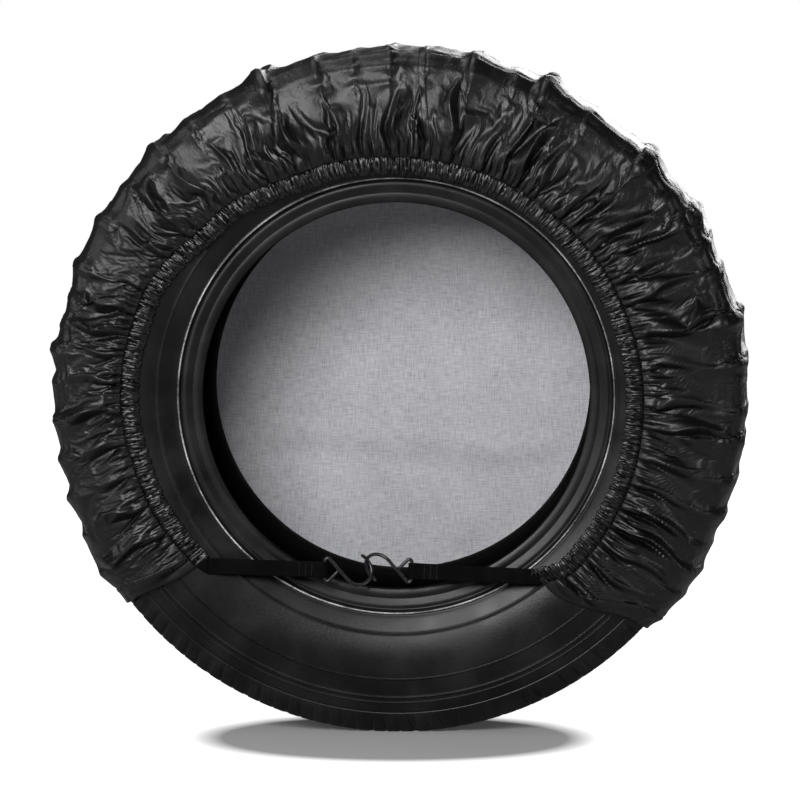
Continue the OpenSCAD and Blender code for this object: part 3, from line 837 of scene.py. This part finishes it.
def sidewall_profile():
    """Radius and half width round a sidewall's section, from the bead to the shoulder."""
    bead = [(202.6, 73), (200.4, 84), (199.8, 89.6), (200.2, 91.2), (201.4, 92.1), (209.6, 92.5),
            (210.2, 92.3), (210.8, 92.6), (216.4, 93.4), (218.6, 94.3), (220.2, 93.6),
            (221.8, 93.7), (222.8, 95.6), (223.6, 97.7), (224.4, 98.5), (225.3, 98.6),
            (226.2, 98.0), (227.2, 97.9)]
    fine_steps = [np.arange(at - 0.9, at + 0.91, 0.18) for at, _ in RINGS]
    r = np.unique(np.r_[np.arange(228, SHOULDER_R, 3.5), SHOULDER_R, np.concatenate(fine_steps)])
    outer = np.column_stack([r, sidewall_y(r) - 0.05 + ring_height(r)])
    inner = [(SHOULDER_R, 93.2), (310, 98.6), (294, 102.1), (272, 102.7), (247.8, 99.6),
             (236, 94.6), (225.8, 83), (216, 75), (206, 72)]
    return np.vstack([bead, outer, inner])


def tread_profile():
    """Radius and y round the tread band's section, grooves and shoulders included."""
    half = [(0, 0)]
    for at in GROOVES:
        half += [(at - GROOVE_W / 2, 0), (at - GROOVE_W / 2 + 1.2, GROOVE_T - 0.8)]
        half += [(at - GROOVE_W / 2 + 2.2, GROOVE_T), (at + GROOVE_W / 2 - 2.2, GROOVE_T)]
        half += [(at + GROOVE_W / 2 - 1.2, GROOVE_T - 0.8), (at + GROOVE_W / 2, 0)]
    half += [(62, 0), (72, 0), (80, 0), (85, 0), (87.5, 0.2)]
    top = [(TYRE_R - 3 * (y / 88.5) ** 2 - deep, y) for y, deep in half]
    shoulder = [(349.6, 89.2), (347.6, 90.7), (344.6, 92.9), (341.6, 95.2), (338.6, 97.3),
                (335.2, 98.4), (332, 99.3), (330.4, 99.7), (SHOULDER_R, 100.2)]
    under = [(SHOULDER_R, 96.2), (334.5, 85.6), (338.5, 78.6), (341.4, 78.4), (341.5, 30)]
    half = np.array(top + shoulder + under)
    return np.vstack([half[:0:-1], half * [1, -1]])[::-1]


def add_turned(name, profile, angles, slant=None):
    """A closed section turned round the wheel's axis; slant shifts points along the turn."""
    r, y = profile.T
    turn = angles[:, None] + (slant[None, :] if slant is not None else 0)
    press = np.zeros((len(angles), len(profile)))
    if slant is not None:
        from_notch = np.abs((angles % (360 / NOTCHES)) - 180 / NOTCHES)
        in_notch = 1.0 * (from_notch < 0.5) + 0.7 * (np.abs(from_notch - SIPE_AT) < 0.24)
        uneven = 0.75 + 0.25 * np.sin(angles * 0.9) + 0.15 * np.sin(angles * 2.3)
        deep = np.where(np.abs(y) > 80, smooth((r - 330.5) / 9), 0)
        press = (in_notch * uneven)[:, None] * deep[None, :] * NOTCH_T
    points = around(turn, r - NOTCH_IN * press, y - NOTCH_SIDE * press * np.sign(y))
    points[..., 2] = np.maximum(points[..., 2], PATCH_Z * MM)
    return add_grid(name, points, "tyre", wrap_rows=True, wrap_columns=True)


def notch_angles():
    """Angles of the tread's columns, crowded where a notch or a sipe has its walls."""
    step = 360 / NOTCHES
    across = np.array([-0.6, -0.48, -0.2, 0.2, 0.48, 0.6])
    sipe = np.array([-0.34, -0.22, 0.22, 0.34])
    between = np.array([-3.3, -1.7, -1.1, 1.1, 1.7, 3.3])
    one = np.sort(np.r_[across, between, sipe - SIPE_AT, sipe + SIPE_AT])
    return np.concatenate([step * (i + 0.5) + one for i in range(NOTCHES)])


print("sidewall profile:", len(sidewall_profile()), "points")

# %% [markdown]
# Tyre rubber is black from its carbon filler, and never quite even: mould release, dust and
# bloom leave paler clouds on it. It has a soft sheen. The inside is lined with butyl rubber,
# which holds the air; it is duller, and every face that looks into the tyre or the bore, the
# bead's toe included, is painted near black: the lining's own colour and painted shade. A thin
# bead lies on the rim line beside the bead, painted pale grey to white as a painted highlight.
# Fitting tools scuff the rim line beside the bead pale, so a thin bead of its own lies there and
# catches the most light.

# %% Tyre rubber and the tyre
INSIDE_Y, INSIDE_R = 91.5 * MM, 310 * MM
RIM_LINE_Y, RIM_LINE_R = 98.3, 0.85


def moulded_rubber(name, tones, roughness=(0.5, 0.68), specular=0.3):
    """Rubber in three tones from dark to pale, duller in its pale clouds."""
    material, tree, shader = new_material(name, IOR=1.5, Specular_IOR_Level=specular)
    place = add(tree, "TexCoord").outputs["Object"]
    clouds = add(tree, "TexNoise", {"Vector": place}, {"Scale": per(48), "Detail": 6.0})
    grit = add(tree, "TexNoise", {"Vector": place}, {"Scale": per(2.5), "Detail": 4.0})
    mix = add(tree, "Math", {0: grit, 2: clouds}, {1: 0.35}, operation="MULTIPLY_ADD")
    tone = add(tree, "ValToRGB", {"Fac": mix}, stops=zip((0.50, 0.66, 0.86), tones))
    dull = add(tree, "MapRange", {"Value": clouds}, zip(RANGE, (0.35, 0.7, *roughness)))
    relief = add(tree, "Bump", {"Height": grit}, {"Distance": 0.4 * MM, "Strength": 0.25})
    join(tree, shader, {"Base Color": tone, "Roughness": dull, "Normal": relief})
    return material


def line_inside(wall, material):
    """Paints the faces that look into the tyre and the bore, the bead's toe included, near black:
    the lining's rubber and painted shade.
    """
    wall.data.materials.append(material)
    for face in wall.data.polygons:
        r = math.hypot(face.center.x, face.center.z)
        face.material_index = int(abs(face.center.y) < INSIDE_Y and r < INSIDE_R)


# near black inside: the butyl lining's own duller black and painted shade where the bore looks in
liner_and_shade = moulded_rubber("butyl_liner_and_shade_rubber", ("010101", "020202", "050505"), (0.7, 0.85), 0.08)
rubber = moulded_rubber("moulded_tyre_rubber", ("060606", "0d0d0e", "1a1a1b"), (0.31, 0.44))
angles = np.arange(0, 360, 0.5)
half = sidewall_profile()
for side, name in ((-1, "sidewall_rear"), (1, "sidewall_front")):
    profile = half * [1, side]
    wall = add_turned(name + "_moulded", profile if side > 0 else profile[::-1], angles)
    paint(wall, rubber)
    line_inside(wall, liner_and_shade)
    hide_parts(name)
tread = tread_profile()
rim_line = around(np.arange(0, 360.5, 0.75), LIP_R - 0.7, 0)
# the rim line's thin bead is painted pale grey to white: a painted highlight
mottled = moulded_rubber("rim_line_painted_highlight_rubber", ("202021", "7a7a7b", "d6d6d6"), (0.35, 0.5))
for side, name in ((-1, "rim_line_rear"), (1, "rim_line_front")):
    path = rim_line + [0, side * RIM_LINE_Y * MM, 0]
    line = add_tubes(name, [path], RIM_LINE_R * MM, "tyre")
    paint(line, mottled)
slant = np.clip((np.abs(tread[:, 1]) - 80) / 14, 0, 1.4) * 0.85 * np.sign(tread[:, 1])
tread_band = add_turned("tread_band_moulded", tread, notch_angles(), slant)
paint(tread_band, rubber)
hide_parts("tread_band")
print("tread:", len(tread_band.data.vertices), "points")

# %% [markdown]
# Inside the rubber lie the ply, the steel belt and the bead wires. They are sealed in and only
# a cut tyre shows them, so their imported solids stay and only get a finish: calendered rubber
# over cord, and brass-plated steel, which is how tyre wire is made so that rubber grips it.

# %% Finishes of the sealed pieces
def plated_cord(name, colours, size_mm):
    """Twisted plated wire: strands of size_mm between a dark and a bright colour."""
    material, tree, shader = new_material(name, Metallic=1.0, Roughness=0.42)
    place = add(tree, "TexCoord").outputs["Object"]
    sizes = {"Scale": per(size_mm * 6), "Distortion": 1}
    strands = add(tree, "TexWave", {"Vector": place}, sizes).outputs["Fac"]
    tone = add(tree, "ValToRGB", {"Fac": strands}, stops=zip((0.2, 0.8), colours))
    relief = add(tree, "Bump", {"Height": strands}, {"Distance": 0.3 * MM, "Strength": 0.4})
    join(tree, shader, {"Base Color": tone, "Normal": relief})
    return material


ply = moulded_rubber("calendered_ply_rubber", ("0c0b0a", "1a1816", "292622"))
belt_cord = plated_cord("brassed_belt_cord", ("6a6450", "a89c78"), 1.2)
bead_wire = plated_cord("bronzed_bead_wire", ("5c4a2e", "9a7f4e"), 1.0)
sealed = {"body_ply": (ply, "ply_rubber"), "steel_belt": (belt_cord, "belt_steel")}
sealed |= {n: (bead_wire, "bead_wire") for n in ("bead_core_rear", "bead_core_front")}
for name, (material, slot) in sealed.items():
    paint(nodes[name], material)
print("sealed pieces:", sorted(sealed))

# %% [markdown]
# The face is a disc of the same vinyl, laid with its knitted grey backing inwards, and that
# backing is what the bore shows. It is woven from uneven slub yarns, so dark and pale threads
# cross in short runs, and it sags into a few soft level wrinkles.

# %% Woven grey backing
def slub_backing():
    surface = {"Roughness": 0.92, "IOR": 1.45, "Specular_IOR_Level": 0.2}
    material, tree, shader = new_material("grey_slub_backing", **surface)
    place = add(tree, "TexCoord").outputs["Object"]
    yarns = []
    for run, across_yarn in ((13, 1.1), (1.1, 13)):
        laid = add(tree, "Mapping", {"Vector": place}, {"Scale": (per(run), 1, per(across_yarn))})
        yarns.append(add(tree, "TexNoise", {"Vector": laid}, {"Scale": 1.0, "Detail": 3.0}))
    both = add(tree, "Math", dict(enumerate(yarns)), operation="ADD")
    stains = add(tree, "TexNoise", {"Vector": place}, {"Scale": per(46), "Detail": 4.0})
    mix = add(tree, "Math", {0: stains, 2: both}, {1: 0.35}, operation="MULTIPLY_ADD")
    half = add(tree, "Math", {0: mix}, {1: 0.5}, operation="MULTIPLY")
    stops = ((0.30, "74747c"), (0.46, "adadb4"), (0.6, "c6c6cb"), (0.78, "dadade"))
    tone = add(tree, "ValToRGB", {"Fac": half}, stops=stops)
    relief = add(tree, "Bump", {"Height": both}, {"Distance": 0.5 * MM, "Strength": 0.35})
    join(tree, shader, {"Base Color": tone, "Normal": relief})
    return material


BOTTOM_Z = PATCH_Z + 20  # the face ends this far above the ground
FACE_R = TYRE_R + 0.4 - 5
BACKING_R = TYRE_R - 8.8
BACKING_Y, FACE_Y = 110.85, 112.3


def disc(r_out, rings, turns, bottom):
    """The x and z of a disc's points, in mm, as [ring, turn], cut flat at the bottom."""
    radii = r_out * np.sqrt(np.linspace(1e-9, 1, rings))
    turn = np.radians(np.linspace(0, 360, turns, endpoint=False))
    reach = np.minimum(r_out, np.where(np.sin(turn) < -0.01, bottom / np.sin(turn), r_out))
    r = radii[:, None] / r_out * reach[None, :]
    return r * np.cos(turn), r * np.sin(turn)


def backing_points():
    """The backing with its few soft level wrinkles, in metres."""
    x, z = disc(BACKING_R, 90, 360, BOTTOM_Z + 2)
    r = np.hypot(x, z)
    soft = 2.2 * np.sin(z / 11 + 1.2 * np.sin(x / 70) + 0.5) * np.exp(-(((z + 78) / 26) ** 2))
    soft += 0.8 * np.sin(z / 23 + 0.9 * np.sin(x / 90 + 1) + 2)
    y = BACKING_Y - (soft + 1.6) * smooth((205 - r) / 50)
    return np.stack([x, y, z], axis=-1) * MM


backing = add_grid("face_lining_woven", backing_points(), "cover", wrap_columns=True, flip=True)
paint(backing, slub_backing())
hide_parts("face_lining")
print("backing:", len(backing.data.vertices), "points")

# %% [markdown]
# Outside, the face is stretched smooth over the front sidewall, and puckers a little where the
# welt is sewn in. The welt is a cord wrapped in a strip of vinyl; it keeps the round edge from
# tearing. The face's free bottom edge is turned up and hemmed.

# %% Face, welt and bottom hem
def face_points():
    """The face, slightly crowned, with puckers where the welt is sewn in."""
    x, z = disc(FACE_R, 70, 720, BOTTOM_Z)
    r, turn = np.hypot(x, z), np.degrees(np.arctan2(z, x))
    pucker = np.abs(np.sin(np.radians(turn * 41 + 60 * np.sin(np.radians(turn * 7)))))
    edge = smooth((r - FACE_R + 34) / 34)
    crown = 0.5 * np.cos(r / FACE_R * np.pi / 2)
    y = FACE_Y + crown + 0.55 * pucker * edge
    return np.stack([x, y, z], axis=-1) * MM


face = add_grid("face_panel_stretched", face_points(), "cover", wrap_columns=True)
paint(face, embossed_vinyl("stretched_black_vinyl", 0.1))
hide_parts("face_panel")
WELT_R = 1.95
WELT_AT = FACE_R + 0.15 + 2
welt_turn = np.linspace(END_RIGHT, END_LEFT, 900)
welt_path = around(welt_turn, WELT_AT + 0.05 * np.sin(welt_turn * 31), FACE_Y + 0.1)
welt = add_tubes("face_welt_corded", [welt_path], WELT_R * MM, "cover", sides=12)
paint(welt, vinyl)
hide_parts("face_welt")


def bottom_edge():
    """The face's free edge below the strip's two ends, as (x, z) in mm."""
    corner = math.degrees(math.asin(BOTTOM_Z / FACE_R))
    left = np.linspace(END_LEFT + 1, 180 - corner, 60)
    right = np.linspace(360 + corner, 360 + END_RIGHT - 1, 60)
    arc = [np.column_stack([FACE_R * np.cos(np.radians(t)), FACE_R * np.sin(np.radians(t))])
           for t in (left, right)]
    straight = np.linspace(arc[0][-1], arc[1][0], 160)[1:-1]
    return np.vstack([arc[0], straight, arc[1]])


def turned_hem(edge, width):
    """A folded hem's section, swept along an edge with its width turned inwards."""
    run = directions(edge)
    inward = np.column_stack([-run[:, 1], run[:, 0]])
    inward = inward * np.sign(np.sum(inward * -edge, axis=1))[:, None]
    wave = 0.18 * np.sin(np.arange(len(edge)) * 0.9)[:, None]
    section = [(0.3, 110.9), (-0.2, 111.6), (-0.3, 112.6), (0, 113.6), (0.8, 114.2), (4, 114.2),
               (14, 114.1), (width - 0.5, 114.0), (width, 113.4), (width - 2, 112.9), (8, 112.6),
               (1.2, 111.2)]
    rows = []
    for w, y in section:
        x, z = (edge + inward * w).T
        lift = wave[:, 0] * (y > 113.5)
        rows.append(np.stack([x, y + lift, z], axis=-1) * MM)
    return np.stack(rows, axis=1)


BOTTOM_HEM_W = 18
hem_points = turned_hem(bottom_edge(), BOTTOM_HEM_W)
edge_hem = add_grid("face_edge_hem_folded", hem_points, "cover", wrap_columns=True, flip=True)
paint(edge_hem, vinyl)
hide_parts("face_edge_hem")
print("welt:", len(welt.data.vertices), "points, hem:", len(edge_hem.data.vertices), "points")

# %% [markdown]
# The straps are woven elastic: rubber threads run along them between ribs of polyester. Each is
# a single ply that goes round the hook's bar and is sewn back on itself. A ribbon helper sweeps
# a ribbed section along a path, so the same code makes the straps, their ends in the channel's
# mouths and the elastic inside the hem.

# %% Elastic webbing
CHANNEL_IN = SIDE_Y + 0.8
STRAP_BACK = CHANNEL_IN + 0.3
STRAP_W, STRAP_T = 16.5, 1.6
WIRE_R, TAIL = 1.8, 30
ROOTS = {"left": (-194.5, -174.6), "right": (140.8, -184.4)}
EYES = {"left": (-72.8, -178.1), "right": (16.6, -179.0)}


def ribbed_elastic():
    surface = {"IOR": 1.5, "Specular_IOR_Level": 0.08}
    stops = ((0.35, "010101"), (0.65, "040404"), (0.85, "0c0c0d"))
    made = grained("ribbed_black_elastic", 1.6, 4.0, stops, 0.3, 0.4, **surface)
    material, tree, shader, _ = made
    place = add(tree, "TexCoord").outputs["Object"]
    lint = add(tree, "TexNoise", {"Vector": place}, {"Scale": per(18), "Detail": 3.0})
    sheen = add(tree, "MapRange", {"Value": lint}, zip(RANGE, (0.3, 0.7, 0.62, 0.85)))
    join(tree, shader, {"Roughness": sheen})
    return material


def rib_section(width, thickness, ribs=13, count=79):
    """Half of a webbing's section: offsets across it and its half thickness there."""
    across = np.linspace(-width / 2, width / 2, count)
    rib = np.abs(np.sin(np.pi * ribs * (across / width + 0.5))) ** 0.7
    round_edge = np.sqrt(np.clip(1 - (np.abs(across) / (width / 2)) ** 14, 0.04, 1))
    return across, thickness / 2 * (0.78 + 0.22 * rib) * round_edge


def ribbon(name, middle, across, out, section, body):
    """Sweeps webbing along middle points; across and out are its width and face directions."""
    offset, half = section
    plies = [middle[:, None] + across[:, None] * offset[None, :, None] * MM
             + side * out[:, None] * half[None, :, None] * MM for side in (1, -1)]
    points = np.concatenate([plies[0], plies[1][:, ::-1]], axis=1)
    return paint(add_capped(name, points, body), elastic)


def facing(y, line):
    """The same direction, 1 to the front or -1 to the rear, at every point of a line."""
    return np.tile([0.0, y, 0.0], (len(line), 1))


elastic = ribbed_elastic()
print("webbing:", elastic.name)

# %% [markdown]
# Each strap has its own frame: X runs along it to the hook's eye, Z across it, and Y = 0 is its
# face nearest the tyre. Pieces on a strap are drawn there and then put in place together.

# %% Straps round the hooks' bars
def on_strap(side, points):
    """Points in a strap's own frame, in mm, to their place, in metres."""
    root, eye = np.array(ROOTS[side]), np.array(EYES[side])
    run = (eye - root) / np.linalg.norm(eye - root)
    x, y, z = np.moveaxis(np.asarray(points, float), -1, 0)
    placed = [root[0] + x * run[0] - z * run[1], y - STRAP_BACK, root[1] + x * run[1] + z * run[0]]
    return np.stack(placed, axis=-1) * MM


def strap_length(side):
    return float(np.hypot(*(np.array(EYES[side]) - ROOTS[side])))


def strap_path(length):
    """The middle of the ply in section: along, round the bar and back."""
    bend = WIRE_R + 0.08 + STRAP_T / 2
    turn = np.radians(np.linspace(-90, 90, 25))
    arc = np.column_stack([length + bend * np.cos(turn), bend * np.sin(turn)])
    meet = length - 10
    out = [(x, -STRAP_T / 2) for x in np.linspace(0.2, meet - 3, 40)]
    rise = np.linspace(0, 1, 9)[1:-1]
    aside = -STRAP_T / 2 - (bend - STRAP_T / 2) * smooth(rise)
    up = np.column_stack([meet - 3 + 13 * rise, aside])
    back = up[::-1] * [1, -1]
    tail = [(x, STRAP_T / 2) for x in np.linspace(meet - 3, length - TAIL, 14)]
    return np.vstack([out, up, arc, back, tail])


def add_strap(side):
    """A strap's webbing from the channel's mouth round the hook's bar and back."""
    path = strap_path(strap_length(side))
    run = directions(path)
    zero = np.zeros(len(path))
    middle = on_strap(side, np.column_stack([path, zero]))
    origin = on_strap(side, (0.0, 0.0, 0.0))
    across = (on_strap(side, np.column_stack([zero, zero, zero + 1])) - origin) / MM
    out = (on_strap(side, np.column_stack([run[:, 1], -run[:, 0], zero])) - origin) / MM
    name = f"strap_{side}"
    section = rib_section(STRAP_W, STRAP_T - 0.04)
    strap = ribbon(name + "_webbing", middle, across, out, section, name)
    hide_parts(name)


for side in ROOTS:
    add_strap(side)
    print("strap", side, round(strap_length(side), 1), "mm to the eye")

# %% [markdown]
# Inside the hem the elastic lies flat in its channel. It comes out of the channel's mouth at
# each end and turns into the free strap there.

# %% Elastic in the hem and at its mouths
ELASTIC_IN, ELASTIC_W, ELASTIC_T = 3.5, 13, 1.2
hem_turn = np.linspace(END_RIGHT + HEM_LEAN[1] + 0.3, END_LEFT + HEM_LEAN[0] - 0.3, 500)
middle = around(hem_turn, hem_radius(hem_turn) + ELASTIC_IN + ELASTIC_W / 2,
                -(STRAP_BACK + ELASTIC_T / 2))
outward = around(hem_turn, 1.0, 0.0) / MM
section = rib_section(ELASTIC_W, ELASTIC_T)
hidden = ribbon("hem_elastic_ribbed", middle, outward, facing(-1.0, middle), section, "cover")
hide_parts("hem_elastic")


def add_mouth(side, angle, way):
    """From the line across the channel's mouth to the line across the strap's root."""
    mouth = float(hem_radius(angle)) + ELASTIC_IN
    dip = angle - way * 0.15
    ends = around(dip, np.array([mouth, mouth + ELASTIC_W]), -(STRAP_BACK + ELASTIC_T / 2))
    root = on_strap(side, [(-0.2, -0.62, z) for z in (STRAP_W / 2 - 0.4, -STRAP_W / 2 + 0.4)])
    if side == "right":
        root = root[::-1]
    bend = smooth(np.linspace(0, 1, 16)[:, None])
    inner, outer = (ends[k] * (1 - bend) + root[k] * bend for k in (0, 1))
    middle = (inner + outer) / 2
    # the section is drawn 1 mm wide, so the span across each row is its width
    section = rib_section(1.0, ELASTIC_T, 11, 60)
    across = (outer - inner) / MM
    name = f"elastic_end_{side}_ribbed"
    obj = ribbon(name, middle, across, facing(-1.0, middle), section, "cover")
    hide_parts(f"elastic_end_{side}")


add_mouth("left", END_LEFT + HEM_LEAN[0], -1)
add_mouth("right", END_RIGHT + HEM_LEAN[1], 1)
print("elastic in the hem:", len(hidden.data.vertices), "points")

# %% [markdown]
# A hook is bent from one length of steel wire on a peg jig: a bar for the strap's loop, a
# straight shank and an open curl, twisted so that two hooks can cross. The path is walked step
# by step, as the jig bends it, with a straight run or a bend at each step. Black coating pools
# a little, so the wire is smooth and only half glossy.

# %% Wire hooks
BAR_L, CORNER_R, CORNER = STRAP_W + 2, 2.6, 137
EYE_LAP = 1
DRAWN_R = WIRE_R - 0.01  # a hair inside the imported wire, so that it can't touch the strap
SHANK = [[EYE_LAP], [CORNER_R, CORNER, 0], [28], [16, 150, 180 - 34], [19, 45, 0], [1]]
BACK_LEG = 2 * (CORNER_R + BAR_L / 2) * math.sin(math.radians(180 - CORNER)) - 2 * WIRE_R - 0.6


def run_step(length):
    m = np.eye(4)
    m[2, 3] = length
    return m


def roll_step(degrees):
    c, s = math.cos(math.radians(degrees)), math.sin(math.radians(degrees))
    return np.array([[c, -s, 0, 0], [s, c, 0, 0], [0, 0, 1, 0], [0, 0, 0, 1]])


def bend_step(r, degrees):
    c, s = math.cos(math.radians(degrees)), math.sin(math.radians(degrees))
    return np.array([[c, 0, s, r * (1 - c)], [0, 1, 0, 0], [-s, 0, c, r * s], [0, 0, 0, 1]])


def walk(steps):
    """Points along a bent wire that starts at the origin and runs along +Z."""
    place, points = np.eye(4), [np.zeros(3)]
    for step in steps:
        if len(step) == 1:
            parts = [run_step(length) for length in np.linspace(0, step[0], 5)[1:]]
        else:
            place = place @ roll_step(step[2])
            turns = np.linspace(0, step[1], max(3, int(step[1] / 6)) + 1)[1:]
            parts = [bend_step(step[0], turn) for turn in turns]
        points += [(place @ part)[:3, 3] for part in parts]
        place = place @ parts[-1]
    return np.array(points)


def coated_wire():
    surface = {"IOR": 1.5, "Coat_Weight": 0.4, "Coat_Roughness": 0.22}
    stops = ((0.4, "0a0b0d"), (0.62, "15161a"), (0.8, "2c2d33"))
    made = grained("black_coated_steel_wire", 5, 5.0, stops, 0.25, 0.08, **surface)
    material, tree, shader, mottled = made
    gloss = add(tree, "MapRange", {"Value": mottled}, zip(RANGE, (0.35, 0.7, 0.26, 0.42)))
    join(tree, shader, {"Roughness": gloss})
    return material


wire_finish = coated_wire()
for side in ROOTS:
    start = BAR_L / 2 - EYE_LAP
    shank = walk(SHANK) + [0, 0, start]
    leg = (walk([[EYE_LAP], [CORNER_R, CORNER, 0], [BACK_LEG]]) + [0, 0, start]) * [1, -1, -1]
    bar = np.linspace(-start, start, 12)[1:-1, None] * [0, 0, 1]
    path = np.vstack([leg[::-1], bar, shank]) + [strap_length(side), 0, 0]
    hook = add_tubes(f"hook_{side}_wire", [on_strap(side, path)], DRAWN_R * MM, f"hook_{side}", 20)
    paint(hook, wire_finish)
    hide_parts(f"hook_{side}")
    print(hook.name, len(hook.data.vertices), "points")

# %% [markdown]
# The seams are sewn with bonded polyester thread. A stitch is a short rounded length that dips
# into the cloth at both ends, and the folded strap ends are held by bar tacks, where the needle
# goes to and fro across the webbing.

# %% Stitches and bar tacks
stops = ((0.35, "020202"), (0.7, "080809"))
surface = {"Roughness": 0.5, "IOR": 1.5}
thread = grained("bonded_black_thread", 0.8, 3.0, stops, 0.15, 0.5, **surface)[0]
THREAD_R, TACK_R = 0.32, 0.30
STITCH, STITCH_GAP = 3.2, 0.9
SEAM_Y = -113.9  # just proud of the channel's edge


def stitches(name, line, out):
    """Stitches along a line of points that lies on a surface with outward normals out."""
    step = np.r_[0, np.cumsum(np.linalg.norm(np.diff(line, axis=0), axis=1))] / MM
    paths = []
    for start in np.arange(1.0, step[-1] - STITCH, STITCH + STITCH_GAP):
        at = start + STITCH * np.array([0, 0.12, 0.35, 0.65, 0.88, 1])
        dip = np.array([-0.4, 0.0, 0.22, 0.22, 0.0, -0.4]) * MM
        middle = np.stack([np.interp(at, step, line[:, k]) for k in range(3)], axis=1)
        normal = np.stack([np.interp(at, step, out[:, k]) for k in range(3)], axis=1)
        paths.append(middle + normal * dip[:, None])
    sewn = add_tubes(name, paths, THREAD_R * MM, "cover", sides=6)
    return paint(sewn, thread)


rows_sewn = {"end_hem_right_folded": -3, "end_hem_left_folded": 3, "joining_seam_lapped": 2}
for name, column in rows_sewn.items():
    upper = upper_faces[name]
    stitches(name + "_stitches", upper[column], grid_normals(upper)[column])
seam_turn = np.linspace(END_RIGHT - 8, END_LEFT + 2, 2400)
seam_line = around(seam_turn, hem_radius(seam_turn) + HEM_W - 0.4, SEAM_Y)
stitches("hem_channel_stitches", seam_line, facing(-1.0, seam_line))
hem_line = hem_points[:, 6] + [0, 0.1 * MM, 0]
stitches("bottom_hem_stitches", hem_line, facing(1.0, hem_line))


def bar_tacks(side):
    """Three zigzags across a strap, over the end that is sewn back."""
    length = strap_length(side)
    paths = []
    for tack in range(3):
        x = length - TAIL + 3.7 + 6.5 * tack
        z = np.linspace(-6.6, 6.6, 23)
        zigzag = x + 0.42 * (-1) ** np.arange(len(z))
        lift = np.full(len(z), -STRAP_T - 0.18)
        paths.append(on_strap(side, np.column_stack([zigzag, lift, z])))
    tacks = add_tubes(f"bar_tacks_{side}", paths, TACK_R * MM, f"strap_{side}", sides=6)
    paint(tacks, thread)
    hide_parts(f"loop_stitching_{side}")


for side in ROOTS:
    bar_tacks(side)

# %% [markdown]

# %% End
print("done")
